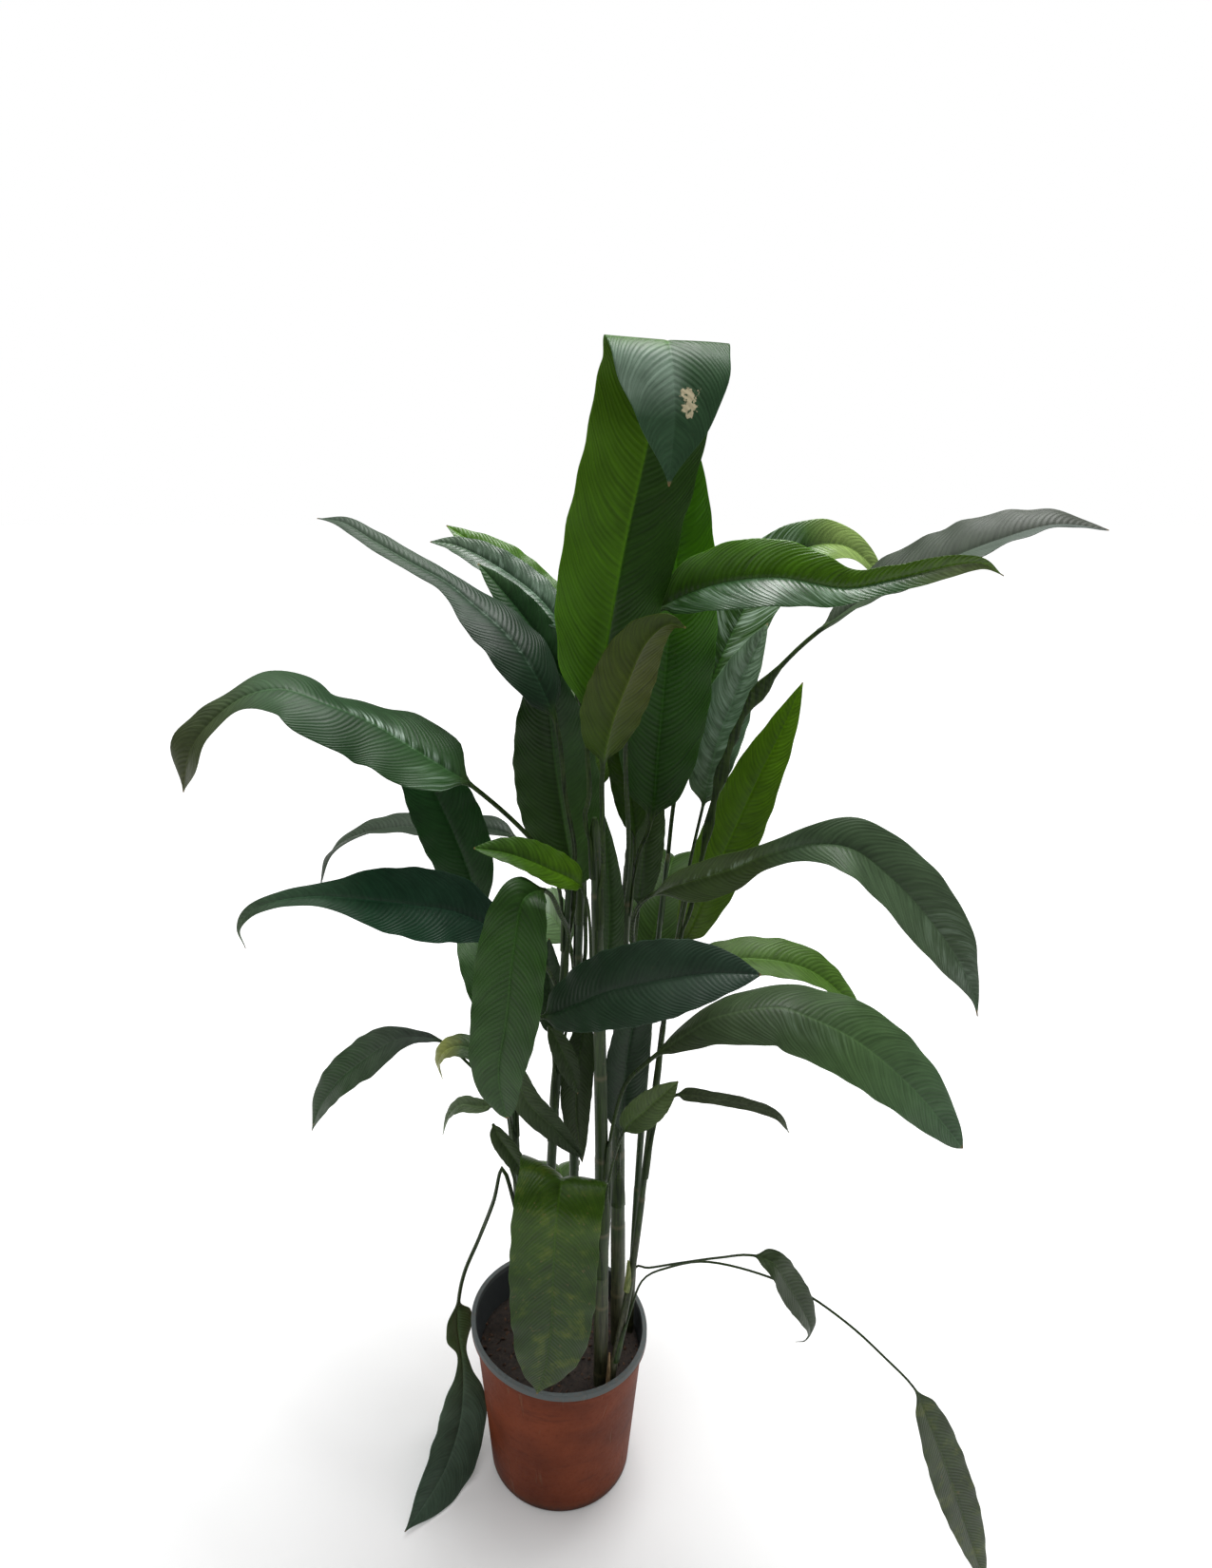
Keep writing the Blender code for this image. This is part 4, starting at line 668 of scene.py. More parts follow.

# Leaves, in millimetres. Each one has the stem it sheathes, the height where its sheath starts, the points
# its petiole and the midrib of its blade run through, the way the middle of the blade faces, its greatest
# half width, and the degrees that its halves fold up. Plain lists run evenly from the base of the blade (0)
# to its tip (1). Tones are a share along the blade and a colour, 0 to 255; rightTones are those of the right
# half where it differs. sheen (silvery streaks of painted highlight), haze (a soft pale painted highlight)
# and stains are from and to across (-1 to 1), from and to along, and strength; wings are wider places of the
# petiole.
leaves = {
    "leaf_crown_folded": dict(
        stem="stem_front", at=960, toward=(-0.94, -0.34, 0), petiole=[(34, -62, 1060)],
        blade=[(32, -56, 1135), (45, -48, 1190), (64, -32, 1300), (86, -15, 1400), (98, -6, 1460),
               (101, -14, 1484), (104, -34, 1472), (107, -55, 1428), (103, -66, 1365)],
        face=(-0.2, 1, 0), width=57, left=(8, 8, 6, 3, 3, 3, 0), right=(12, 14, 10, 5, 0, 0, 0),
        widths=(.15, .7, .92, 1, 1, 1, 1, 1, .92, .55, 0), bow=0, wave=0, stations=14,
        tones=[(0, 56, 88, 10), (0.5, 56, 82, 14), (0.7, 56, 80, 22), (0.77, 50, 68, 52), (1, 38, 56, 40)],
        # The right half's dark tones up to the fold are painted shade that the folded tip casts; the streaks
        # and pale patch on the tip are painted highlights
        rightTones=[(0, 32, 58, 8), (0.7, 28, 48, 14), (0.77, 38, 56, 38), (1, 36, 54, 38)],
        paintedHighlight=[(-1.3, 0.0, 0.75, 0.88, 0.15)], softHighlight=[(-1.3, 0.25, 0.745, 0.885, 0.32)],
        stains=[(0.0, 0.62, 0.815, 0.9, 1.0)], ribEnd=0.76),
    "leaf_crown_back": dict(
        stem="stem_red", at=880,
        blade=[(103, 22, 990), (110, 30, 1080), (116, 35, 1180), (122, 38, 1270), (127, 40, 1350),
               (130, 40, 1410)],
        face=(-0.1, -1, 0.1), width=50, cup=12,
        tones=[(0, 22, 44, 8), (0.45, 28, 54, 8), (0.62, 58, 96, 8), (1, 50, 84, 12)]),
    "leaf_olive": dict(
        stem="stem_front", at=900, toward=(0.65, -0.76, 0), petiole=[(48, -72, 1020)],
        blade=[(47, -72, 1100), (55, -74, 1145), (68, -80, 1185), (86, -88, 1230), (105, -96, 1248),
               (120, -102, 1246)],
        face=(-0.2, 1, 0.2), width=34, cup=18,
        tones=[(0, 38, 54, 12), (0.5, 46, 56, 22), (1, 36, 48, 16)],
        rightTones=[(0, 42, 56, 14), (0.5, 48, 54, 22), (1, 40, 48, 16)]),
    "leaf_right_glossy": dict(
        stem="stem_red", at=800, toward=(-0.5, -0.87, 0),
        petiole=[(78, -6, 970), (73, 3, 1097), (81, 2, 1188)],
        blade=[(100, -4, 1233), (143, -28, 1265), (206, -50, 1280), (276, -50, 1270), (319, -50, 1278),
               (397, -50, 1293), (421, -50, 1281)],
        face=(0, -0.75, 0.65), width=38, cup=18, twist=(0, 45),
        widths=(.12, .7, .95, 1, .9, .7, .42, .35, .32, .2, 0), paint="glossy",
        tones=[(0, 32, 54, 24), (0.3, 36, 56, 34), (0.7, 44, 64, 40), (0.85, 84, 94, 68), (1, 62, 74, 44)],
        rightTones=[(0, 34, 58, 12), (0.4, 50, 76, 22), (1, 54, 72, 28)],
        paintedHighlight=[(-1.0, 0.0, 0.02, 0.75, 0.3)]),
    "leaf_right_arched": dict(
        stem="stem_right_back", at=840, petiole=[(136, 85, 1000)],
        blade=[(151, 100, 1060), (172, 110, 1120), (200, 130, 1184), (233, 150, 1234), (277, 160, 1264),
               (322, 170, 1264), (352, 170, 1244), (372, 165, 1214)],
        face=(-0.3, -0.8, 0.5), width=37, cup=18, paint="glossy",
        tones=[(0, 36, 60, 22), (0.35, 42, 62, 34), (0.68, 46, 68, 36), (0.78, 104, 120, 78),
               (1, 96, 112, 72)], paintedHighlight=[(-1.3, 1.3, 0.2, 0.7, 0.5)]),
    "leaf_right_far": dict(
        stem="stem_right", at=820, petiole=[(178, 20, 1055), (203, 20, 1130), (240, 20, 1180)],
        blade=[(268, 20, 1208), (320, 20, 1248), (373, 10, 1278), (430, 0, 1305), (480, -5, 1320),
               (530, -10, 1316)],
        face=(-0.4, 0, 0.9), width=40, left=(5, 5), right=(32, 28), basePower=1.2,
        tones=[(0, 48, 60, 42), (0.5, 58, 66, 58), (1, 70, 74, 72)],
        rightTones=[(0, 36, 44, 32), (0.5, 50, 56, 48), (1, 60, 62, 58)],
        wings=[(130, 1.6, 20), (190, 2.6, 18), (235, 1.4, 12), (290, 3.0, 20)]),
    "leaf_right_silver": dict(
        stem="stem_right", at=750, petiole=[(150, 35, 930)],
        blade=[(163, 45, 1000), (174, 45, 1070), (192, 50, 1130), (208, 50, 1175), (221, 50, 1208)],
        face=(-0.5, -0.8, 0.2), width=30, cup=18, paint="glossy",
        tones=[(0, 54, 74, 46), (0.5, 84, 104, 84), (1, 92, 108, 90)], paintedHighlight=[(-0.9, 1.0, 0.02, 1.0, 0.3)]),
    "leaf_right_upright": dict(
        stem="stem_far_back", at=630,
        blade=[(153, 94, 790), (181, 90, 875), (204, 90, 940), (230, 90, 1013), (256, 95, 1076),
               (274, 100, 1127)],
        face=(-0.5, -0.8, 0.2), width=36, cup=10,
        tones=[(0, 66, 82, 40), (0.3, 60, 84, 26), (1, 64, 90, 26)]),
    "leaf_right_twisted": dict(
        stem="stem_red", at=740, toward=(1, -0.2, 0), petiole=[(86, -20, 900)],
        blade=[(100, -35, 930), (136, -50, 953), (180, -70, 980), (210, -80, 1000), (254, -100, 1025),
               (290, -110, 1026), (327, -120, 1002), (367, -130, 962), (403, -140, 915), (425, -142, 872),
               (428, -150, 855)],
        face=(0.1, -0.8, 0.6), width=38, left=(12, 20, 30, 14, 8), right=(12, 8, 8, 10, 12), twist=(90, 0),
        widths=(.3, .7, .6, .35, .44, .82, .95, .95, .8, .4, 0), stations=10,
        tones=[(0, 42, 56, 26), (0.28, 44, 56, 30), (0.38, 54, 68, 50), (0.8, 60, 72, 56), (1, 56, 68, 56)],
        paintedHighlight=[(-0.9, 0.9, 0.7, 0.95, 0.2), (-0.1, 0.5, 0.05, 0.3, 0.35)]),
    "leaf_front_dark": dict(
        stem="stem_left", at=660, toward=(-0.2, -1, 0), petiole=[(-48, -52, 785), (-30, -70, 800)],
        blade=[(-16, -80, 805), (20, -95, 832), (51, -110, 857), (106, -130, 885), (157, -140, 900),
               (205, -150, 905)],
        face=(-0.2, -0.75, 0.65), width=43, cup=12, peak=0.55, paint="dark",
        tones=[(0, 22, 38, 22), (0.5, 28, 42, 30), (1, 34, 46, 38)]),
    "leaf_right_light": dict(
        stem="stem_right", at=660, petiole=[(128, -18, 790)],
        blade=[(138, -22, 815), (174, -25, 840), (224, -30, 848), (278, -35, 838), (317, -40, 810),
               (352, -40, 768)],
        face=(0, -0.3, 0.95), width=28, cup=14,
        tones=[(0, 36, 50, 34), (0.25, 66, 84, 50), (1, 62, 88, 38)]),
    "leaf_right_broad": dict(
        stem="stem_front", at=560, petiole=[(78, -62, 700)],
        blade=[(105, -75, 745), (140, -90, 790), (168, -100, 818), (234, -110, 838), (265, -120, 833),
               (315, -130, 810), (377, -140, 757), (438, -150, 684)],
        face=(0.15, -0.6, 0.75), width=44, left=(0, -5, 0), right=(-15, -28, -28, -5, 12, 20), peak=0.55,
        basePower=1.1, tipPower=0.75,
        tones=[(0, 44, 52, 34), (0.35, 50, 62, 44), (0.6, 62, 80, 54), (1, 60, 76, 60)],
        paintedHighlight=[(-0.6, 0.2, 0.35, 0.6, 0.12)]),
    "leaf_right_narrow": dict(
        stem="stem_right", at=530, toward=(0.4, -0.9, 0), petiole=[(120, -50, 655)],
        blade=[(136, -76, 696), (173, -96, 708), (220, -105, 703), (244, -110, 694), (259, -110, 671)],
        face=(0, -0.6, 0.7), width=8, cup=10, widths=(.5, 1, 1, .9, .9, .9, .8, .8, .6, .4, 0),
        tones=[(0, 60, 68, 50), (1, 60, 66, 54)]),
    "leaf_right_short": dict(
        stem="stem_front", at=475, toward=(0.5, -0.87, 0),
        blade=[(76, -84, 650), (97, -96, 688), (116, -102, 716), (133, -104, 737)],
        face=(0.1, -0.8, 0.6), width=19, cup=10, peak=0.5,
        tones=[(0, 46, 60, 32), (1, 60, 72, 44)]),
    "leaf_front_mottled": dict(
        stem="stem_front", at=400, petiole=[(30, -78, 530)],
        blade=[(12, -88, 570), (7, -106, 604), (5, -130, 616), (1, -150, 598), (-3, -156, 545),
               (-5, -158, 490), (-8, -157, 410), (-16, -152, 345), (-26, -148, 298)],
        face=(0, -1, 0.1), width=50, cup=8, widths=(.5, 1, 1, 1, 1, 1, .97, .9, .76, .48, 0), stations=10,
        paint="mottled",
        tones=[(0, 40, 56, 28), (0.3, 43, 62, 20), (0.45, 34, 52, 12), (0.7, 28, 45, 8), (1, 32, 46, 10)]),
    "leaf_front_left": dict(
        stem="stem_middle", at=790, toward=(0.3, -0.95, 0), petiole=[(4, -48, 915)],
        blade=[(-11, -94, 970), (-31, -122, 976), (-42, -138, 927), (-50, -148, 854), (-60, -150, 782),
               (-53, -145, 720)],
        face=(-0.2, -1, 0.15), width=37, cup=10, peak=0.45, tipPower=0.65,
        tones=[(0, 20, 38, 12), (0.3, 38, 60, 28), (1, 40, 58, 34)]),
    "leaf_left_folded": dict(
        stem="stem_front", at=780,
        blade=[(27, -66, 957), (-9, -76, 986), (-48, -84, 1007), (-82, -90, 1016)],
        face=(0, -0.5, 0.85), width=23, cup=20,
        tones=[(0, 56, 80, 18), (0.4, 46, 68, 22), (1, 44, 66, 30)]),
    "leaf_left_arm": dict(
        stem="stem_middle", at=840, toward=(-1, -0.1, 0), petiole=[(-5, -12, 950), (-29, -20, 994)],
        blade=[(-86, -30, 1057), (-140, -35, 1099), (-184, -40, 1132), (-223, -50, 1154), (-265, -50, 1170),
               (-299, -55, 1166), (-333, -60, 1144), (-360, -65, 1112), (-374, -65, 1066)],
        face=(0.2, -0.6, 0.8), width=52, left=(5, -20, -42, -22, 0, 10), right=(16, 14, 6, 10, 20, 10),
        widths=(.15, .75, 1, 1, .95, .85, .6, .32, .42, .52, 0), stations=10,
        tones=[(0, 36, 56, 32), (0.45, 34, 52, 34), (0.62, 46, 62, 44), (0.74, 52, 62, 42), (1, 58, 62, 42)],
        paintedHighlight=[(-0.22, 0.05, 0.05, 0.42, 0.9), (0.3, 1.3, 0.0, 0.2, 0.35)],
        stains=[(-0.4, 0.4, 0.85, 1.1, 0.35)]),
    "leaf_left_dark": dict(
        stem="stem_left_back", at=720,
        blade=[(-88, 62, 850), (-110, 68, 925), (-136, 78, 990), (-164, 90, 1045), (-188, 100, 1075)],
        face=(0.3, -0.9, 0.3), width=40, cup=12, peak=0.5, basePower=1.0, paint="dark",
        tones=[(0, 30, 50, 26), (1, 22, 46, 24)]),
    "leaf_left_grey": dict(
        stem="stem_back", at=780, petiole=[(-5, 85, 900)],
        blade=[(-45, 100, 930), (-76, 110, 940), (-138, 130, 932), (-200, 150, 924), (-253, 170, 901),
               (-290, 180, 870), (-308, 180, 825)],
        face=(0, -0.1, 1), width=28, cup=14, paint="dark",
        tones=[(0, 44, 54, 44), (1, 56, 64, 54)]),
    "leaf_left_long": dict(
        stem="stem_middle", at=720, petiole=[(-18, -22, 840)],
        blade=[(-50, -36, 878), (-107, -50, 919), (-154, -70, 939), (-199, -90, 957), (-242, -110, 972),
               (-278, -120, 972), (-306, -120, 959), (-319, -120, 939), (-315, -120, 917)],
        face=(0.1, -0.7, 0.7), width=40, cup=14, widths=(.1, .7, 1, 1, .8, .38, .22, .15, 0), paint="dark",
        tones=[(0, 34, 48, 40), (0.5, 28, 52, 36), (0.75, 56, 74, 58), (1, 68, 78, 62)]),
    "leaf_left_bitten": dict(
        stem="stem_left_back", at=500, petiole=[(-78, 52, 592), (-112, 52, 640)],
        blade=[(-144, 55, 672), (-175, 62, 675), (-207, 68, 665), (-246, 76, 632), (-288, 84, 588),
               (-317, 90, 541), (-331, 90, 502)],
        face=(0.3, -0.4, 0.85), width=28, cup=10, widths=(.2, .3, .7, 1, 1, .95, .8, .5, 0),
        tones=[(0, 56, 62, 58), (0.3, 52, 62, 50), (0.6, 46, 62, 42), (1, 40, 56, 36)],
        stains=[(-1.3, 1.3, 0.86, 1.3, 0.3)]),
    "leaf_left_yellow_tip": dict(
        stem="stem_left", at=600, toward=(-0.75, 0.66, 0),
        blade=[(-80, -22, 706), (-93, -22, 716), (-115, -20, 722), (-132, -20, 715), (-140, -20, 698),
               (-137, -20, 674)],
        face=(-0.3, -0.3, 0.9), width=16, cup=10, peak=0.3, paint="mottled",
        tones=[(0, 50, 68, 44), (0.35, 62, 76, 54), (0.55, 112, 118, 78), (1, 118, 120, 84)]),
    "leaf_left_claw": dict(
        stem="stem_left", at=550, toward=(-0.4, -0.9, 0), petiole=[(-58, -58, 655)],
        blade=[(-74, -76, 680), (-92, -84, 687), (-106, -84, 689), (-118, -80, 678), (-127, -80, 661),
               (-132, -80, 642)],
        face=(-0.3, -0.3, 0.9), width=11, cup=10, tipPower=1.5,
        tones=[(0, 66, 78, 56), (1, 84, 96, 76)]),
    "leaf_left_small": dict(
        stem="stem_left", at=450, toward=(-0.35, -0.95, 0), petiole=[(-66, -56, 610)],
        blade=[(-74, -70, 648), (-68, -80, 640), (-50, -86, 612), (-33, -88, 578)],
        face=(0, -1, 0.3), width=12, cup=10,
        tones=[(0, 50, 60, 40), (1, 42, 54, 34)]),
    "leaf_middle_diagonal": dict(
        stem="stem_left", at=600, toward=(1, 0, 0), petiole=[(-41, -46, 680)],
        blade=[(-48, -66, 735), (-36, -76, 690), (-5, -80, 652), (30, -84, 610)],
        face=(0.3, -1, 0.3), width=16, cup=10,
        tones=[(0, 54, 66, 44), (1, 42, 50, 38)]),
    "leaf_middle_short": dict(
        stem="stem_middle", at=620,
        blade=[(-10, -22, 750), (7, -32, 720), (24, -36, 665)],
        face=(0.3, -1, 0.3), width=13, cup=10,
        tones=[(0, 38, 48, 30), (1, 40, 52, 32)]),
    "leaf_middle_hanging": dict(
        stem="stem_back", at=620,
        blade=[(34, 30, 730), (26, 18, 680), (22, 12, 600), (30, 10, 520)],
        face=(0, -1, 0.1), width=20, cup=10, paint="dark",
        tones=[(0, 38, 52, 28), (1, 46, 56, 36)]),
    "leaf_back_pale": dict(
        stem="stem_back", at=600,
        blade=[(15, 105, 780), (-5, 135, 800), (-20, 170, 790), (-30, 210, 750), (-35, 240, 700)],
        face=(-0.3, -0.6, 0.7), width=36, cup=12,
        tones=[(0, 96, 118, 84), (1, 128, 148, 118)], paintedHighlight=[(-0.8, 0.8, 0.2, 0.9, 0.4)]),
    "leaf_middle_dark": dict(
        stem="stem_middle", at=560,
        blade=[(-5, 28, 700), (-8, 38, 750), (-12, 46, 790), (-10, 50, 825)],
        face=(0, -1, 0.3), width=20, cup=10, paint="dark",
        tones=[(0, 34, 48, 28), (1, 34, 48, 32)]),
    "leaf_middle_wide": dict(
        stem="stem_red", at=460,
        blade=[(76, -26, 600), (78, -30, 660), (82, -32, 720), (90, -32, 780), (100, -30, 830)],
        face=(0, -1, 0.1), width=26, cup=12, paint="dark",
        tones=[(0, 30, 44, 30), (1, 32, 46, 32)]),
    "leaf_upper_left_long": dict(
        stem="stem_middle", at=888, toward=(0.5, 0.87, 0), petiole=[(10, 2, 1030)],
        blade=[(0, 2, 1115), (-24, 10, 1172), (-53, 28, 1206), (-83, 45, 1228), (-113, 60, 1249),
               (-148, 70, 1266), (-189, 85, 1286), (-224, 100, 1303), (-253, 112, 1305)],
        face=(0.3, -0.7, 0.7), width=36, left=(-20, -15, 0), right=(14, 14, 14),
        widths=(.15, .7, 1, 1, .9, .52, .42, .4, .36, .25, 0),
        tones=[(0, 16, 28, 18), (0.3, 20, 34, 22), (0.5, 32, 46, 34), (0.7, 48, 60, 48), (1, 54, 62, 54)],
        paintedHighlight=[(-0.1, 0.1, 0.15, 0.6, 0.2)]),
    "leaf_upper_left_ragged": dict(
        stem="stem_back", at=940, petiole=[(22, 62, 1120)],
        blade=[(10, 76, 1188), (-15, 96, 1220), (-43, 112, 1240), (-85, 126, 1263), (-115, 136, 1273),
               (-138, 138, 1275)],
        face=(0.3, -0.7, 0.6), width=22, cup=10, paint="glossy",
        tones=[(0, 46, 64, 48), (0.5, 54, 70, 56), (1, 64, 76, 62)], paintedHighlight=[(-0.6, 0.6, 0.1, 0.8, 0.25)]),
    "leaf_upper_left_light": dict(
        stem="stem_back", at=880, petiole=[(32, 85, 1040)],
        blade=[(20, 118, 1136), (4, 144, 1184), (-32, 166, 1218), (-63, 180, 1243), (-94, 190, 1262),
               (-126, 200, 1281)],
        face=(0.2, -0.6, 0.7), width=30, cup=10, paint="glossy",
        tones=[(0, 40, 66, 14), (0.5, 50, 78, 22), (1, 56, 84, 30)], paintedHighlight=[(-0.7, 0.3, 0.2, 1.0, 0.15)]),
    "leaf_upper_left_low": dict(
        stem="stem_back", at=840, toward=(-0.5, -0.87, 0), petiole=[(10, 54, 1000)],
        blade=[(6, 55, 1120), (0, 60, 1160), (-26, 72, 1198), (-56, 84, 1233), (-83, 94, 1261)],
        face=(0.2, -0.8, 0.5), width=22, cup=10, paint="dark",
        tones=[(0, 22, 40, 20), (0.7, 26, 46, 26), (1, 50, 70, 46)]),
    "leaf_centre_left_tall": dict(
        stem="stem_middle", at=770,
        blade=[(20, 26, 900), (10, 34, 970), (0, 36, 1040), (-6, 36, 1100), (-12, 36, 1170)],
        face=(0, -1, 0.1), width=47, cup=10, peak=0.5, tipPower=0.7, paint="dark",
        tones=[(0, 52, 74, 38), (0.5, 40, 62, 30), (1, 26, 42, 26)],
        rightTones=[(0, 34, 54, 20), (1, 24, 42, 16)]),
    "leaf_centre_dark": dict(
        stem="stem_red", at=700, toward=(-0.2, 1, 0), petiole=[(84, 35, 870)],
        blade=[(88, 50, 960), (80, 60, 1020), (70, 70, 1080), (60, 80, 1130)],
        face=(0, -1, 0.1), width=20, cup=10, paint="dark",
        tones=[(0, 30, 48, 16), (1, 38, 54, 16)]),
    "leaf_centre_upright": dict(
        stem="stem_middle", at=670, toward=(1, -0.3, 0),
        blade=[(44, -24, 790), (56, -29, 850), (58, -30, 910), (54, -30, 975), (47, -30, 1035)],
        face=(0.1, -1, 0.1), width=16, cup=10, paint="dark",
        tones=[(0, 30, 50, 22), (1, 36, 54, 24)]),
    "leaf_centre_right": dict(
        stem="stem_far_back", at=575, toward=(-0.3, -0.95, 0), petiole=[(90, 70, 760)],
        blade=[(96, 68, 860), (99, 66, 915), (105, 66, 975), (112, 66, 1036)],
        face=(0, -1, 0.1), width=22, cup=10, paint="dark",
        tones=[(0, 38, 54, 30), (1, 38, 54, 20)]),
    "leaf_floor_left": dict(
        stem="stem_left", at=390, petiole=[(-68, -28, 545), (-82, -16, 480), (-104, 2, 400), (-128, 18, 320)],
        blade=[(-139, 28, 258), (-143, 36, 190), (-139, 36, 115), (-142, 6, 52), (-156, -45, 30),
               (-176, -86, 20), (-207, -132, 10)],
        face=(0.6, -0.75, 0.4), width=40, cup=8, widths=(.2, .52, .5, .2, .36, .85, 1, 1, .85, .5, 0),
        stations=10, paint="dark",
        tones=[(0, 50, 66, 36), (0.3, 68, 84, 60), (0.55, 82, 96, 84), (0.75, 58, 70, 60), (1, 50, 62, 52)]),
    "leaf_pot_right": dict(
        stem="stem_right", at=315, toward=(0.5, 0.87, 0),
        petiole=[(112, -68, 422), (145, -102, 466), (185, -145, 520)],
        blade=[(216, -182, 562), (235, -190, 561), (256, -190, 526), (277, -190, 486), (286, -190, 457),
               (281, -191, 441), (270, -192, 440)],
        face=(0.6, -0.6, 0.5), width=19, cup=10, tipPower=1.4, petioleRadius=1.4, stations=8,
        tones=[(0, 50, 60, 42), (1, 46, 54, 42)]),
    "leaf_far_right_low": dict(
        stem="stem_right", at=262, toward=(0.7, -0.7, 0),
        petiole=[(107, -66, 402), (137, -80, 436), (175, -96, 462), (229, -122, 474), (283, -148, 470),
                 (333, -175, 449), (376, -190, 412)],
        blade=[(411, -200, 375), (434, -205, 325), (472, -210, 225), (507, -210, 130), (532, -210, 60),
               (544, -210, 25)],
        face=(0.3, -0.9, 0.3), width=25, cup=10, petioleRadius=1.4, stations=8, paint="mottled",
        tones=[(0, 44, 54, 34), (1, 36, 48, 22)]),
    "leaf_back_high": dict(
        stem="stem_back", at=720, toward=(0.8, 0.6, 0), petiole=[(32, 105, 900)],
        blade=[(35, 130, 970), (40, 180, 1050), (45, 240, 1080), (50, 300, 1060), (50, 340, 1000)],
        face=(0, -0.1, 1), width=45, cup=14,
        tones=[(0, 42, 58, 24), (1, 44, 66, 18)]),
    "leaf_back_right": dict(
        stem="stem_far_back", at=520,
        blade=[(112, 150, 710), (135, 200, 790), (155, 270, 820), (165, 330, 780), (170, 360, 720)],
        face=(0, -0.1, 1), width=42, cup=14,
        tones=[(0, 34, 48, 24), (1, 32, 50, 18)]),
    "leaf_back_left": dict(
        stem="stem_left_back", at=440, toward=(0.3, 0.95, 0),
        blade=[(-80, 125, 640), (-95, 180, 710), (-105, 240, 730), (-110, 290, 690), (-110, 320, 630)],
        face=(0, -0.1, 1), width=40, cup=14,
        tones=[(0, 40, 60, 33), (1, 42, 62, 36)]),
    "leaf_back_low": dict(
        stem="stem_back", at=240,
        blade=[(5, 115, 380), (0, 150, 385), (-5, 195, 340), (-10, 225, 265), (-10, 240, 190)],
        face=(0, 0.9, 0.4), width=34, cup=12,
        tones=[(0, 56, 72, 44), (1, 60, 78, 40)]),
}

# Two short sheaths without a blade, in millimetres: where they start on their stem, and the way they face
bareSheaths = {
    "dried_sheath": dict(stem="stem_right", at=222, length=50, toward=(-1, -0.05, 0), wall=1.6,
                         dark=(126, 100, 70), light=(176, 150, 112), scar=(196, 176, 140)),
    "green_stub": dict(stem="stem_right", at=362, length=46, toward=(-0.87, -0.5, 0), wall=1.6,
                       dark=(96, 112, 48), light=(142, 152, 84), scar=(168, 160, 110)),
}
husk = dict(rows=14, columns=15, spreads=(1.0, 1.0, 0.72, 0.16), curl=0.0022, ragged=0.0003, edgeWall=0.45,
            turn=2.0, bumpDepth=0.0008)

# What all leaves share: finishes, how the surface varies, and form in metres. petioleStep and petioleBend
# set how many stations the solid's petiole has; the bend weights draw stations together where it bends.
# The first colour is the one the painted highlights on the leaves are drawn in
leafCommon = dict(paintedHighlight=tone(178, 198, 184), dry=tone(112, 92, 58), stalkDark=tone(20, 38, 8),
                  stalkLight=tone(46, 66, 20), yellow=tone(118, 122, 40), stain=(0.48, 0.42, 0.27, 1),
                  veins=0.8, mottle=0.25, specks=0.03, roughness=0.40)
leafPaints = dict(glossy=dict(veins=1.0, roughness=0.33), soft=dict(veins=0.8, roughness=0.46),
                  dark=dict(veins=0.6, roughness=0.42), mottled=dict(veins=0.6, mottle=0.72, specks=0.3))
# glints and clouds are the ranges where the painted highlights show; the painted highlights also lower the
# roughness a little
leafLooks = dict(
    broadScale=11.0, broadShade=0.8, blotchScale=46.0, blotchShade=1.8, grainScale=420.0, wanderScale=30.0,
    wander=0.003, fine=(1.5, 520.0), fineLines=1.3, wide=(1.1, 150.0), wideLines=1.5, ridgeLines=0.25,
    lineShade=0.8, middleShade=0.45, shades=(0.62, 1.55), paler=2.2, glints=(0.57, 0.76), clouds=(0.45, 1.05),
    speckScale=150.0, specks=(0.70, 0.74), yellows=(0.60, 0.78), yellowAmount=0.4, dryPatches=(0.42, 0.62),
    tornScale=170.0, tornSwing=2.6, torn=(0.68, 0.80), streakScale=420.0, streaks=(0.35, 0.65),
    ribAmount=0.5, marginAmount=0.7, blotchRoughness=0.2, highlightGloss=0.06, underRoughness=0.12,
    dryRoughness=0.25)
leafForm = dict(
    toneGain=1.3, toneDepth=1.35, bumpDepth=0.0006, gloss=dict(glossy=0.3, soft=0.2, dark=0.2, mottled=0.2),
    veinSpacing=0.0062, saltStep=1.3, sheathLength=0.045, sheathSpan=math.radians(130),
    sheathSpans=(1.0, 0.85, 0.55), sheathWalls=(0.0009, 0.0016, 0.0022), sheathRings=7,
    facetAllowance=0.0002, petioleStart=0.018, standOff=0.0012, leadLength=0.030, leadGap=0.001,
    thickPetiole=0.0026, thinPetiole=0.0019, wideBlade=0.030, grooveDepth=0.45, grooveWidth=0.4,
    petioleRing=0.012, petioleStep=0.08, petioleBend=0.8, solidBend=0.07, stationStep=0.004,
    stations=8, smallBlade=0.024, smallStations=6, ringSpacing=0.0085, ringsAtLeast=26, ringBend=0.04,
    ringStep=0.003, ringGap=0.002, ragged=(0.012, 0.010), ripple=0.035, ribEdge=(0.0012, 0.5),
    ribGroove=(0.25, 0.0008, 0.35), ribMask=(0.0005, 0.18),
    bladeThickness=0.0006, bladeBow=7, bladeWave=4, peak=0.42, basePower=0.62, tipPower=0.95, bladeEase=0.08,
    tipHalfWidth=0.0016, tipNarrow=0.65, tipDry=0.008, ribWidth=1.8, ribTip=0.0007, veinLean=(0.55, 0.75),
    halfPlaces=(0.02, 0.05, 0.10, 0.2, 0.34, 0.5, 0.66, 0.8, 0.91, 0.97, 1.0))
leafAcross = np.array([-t for t in reversed(leafForm["halfPlaces"])] + [0.0] + list(leafForm["halfPlaces"]))
leafColumns = len(leafAcross)


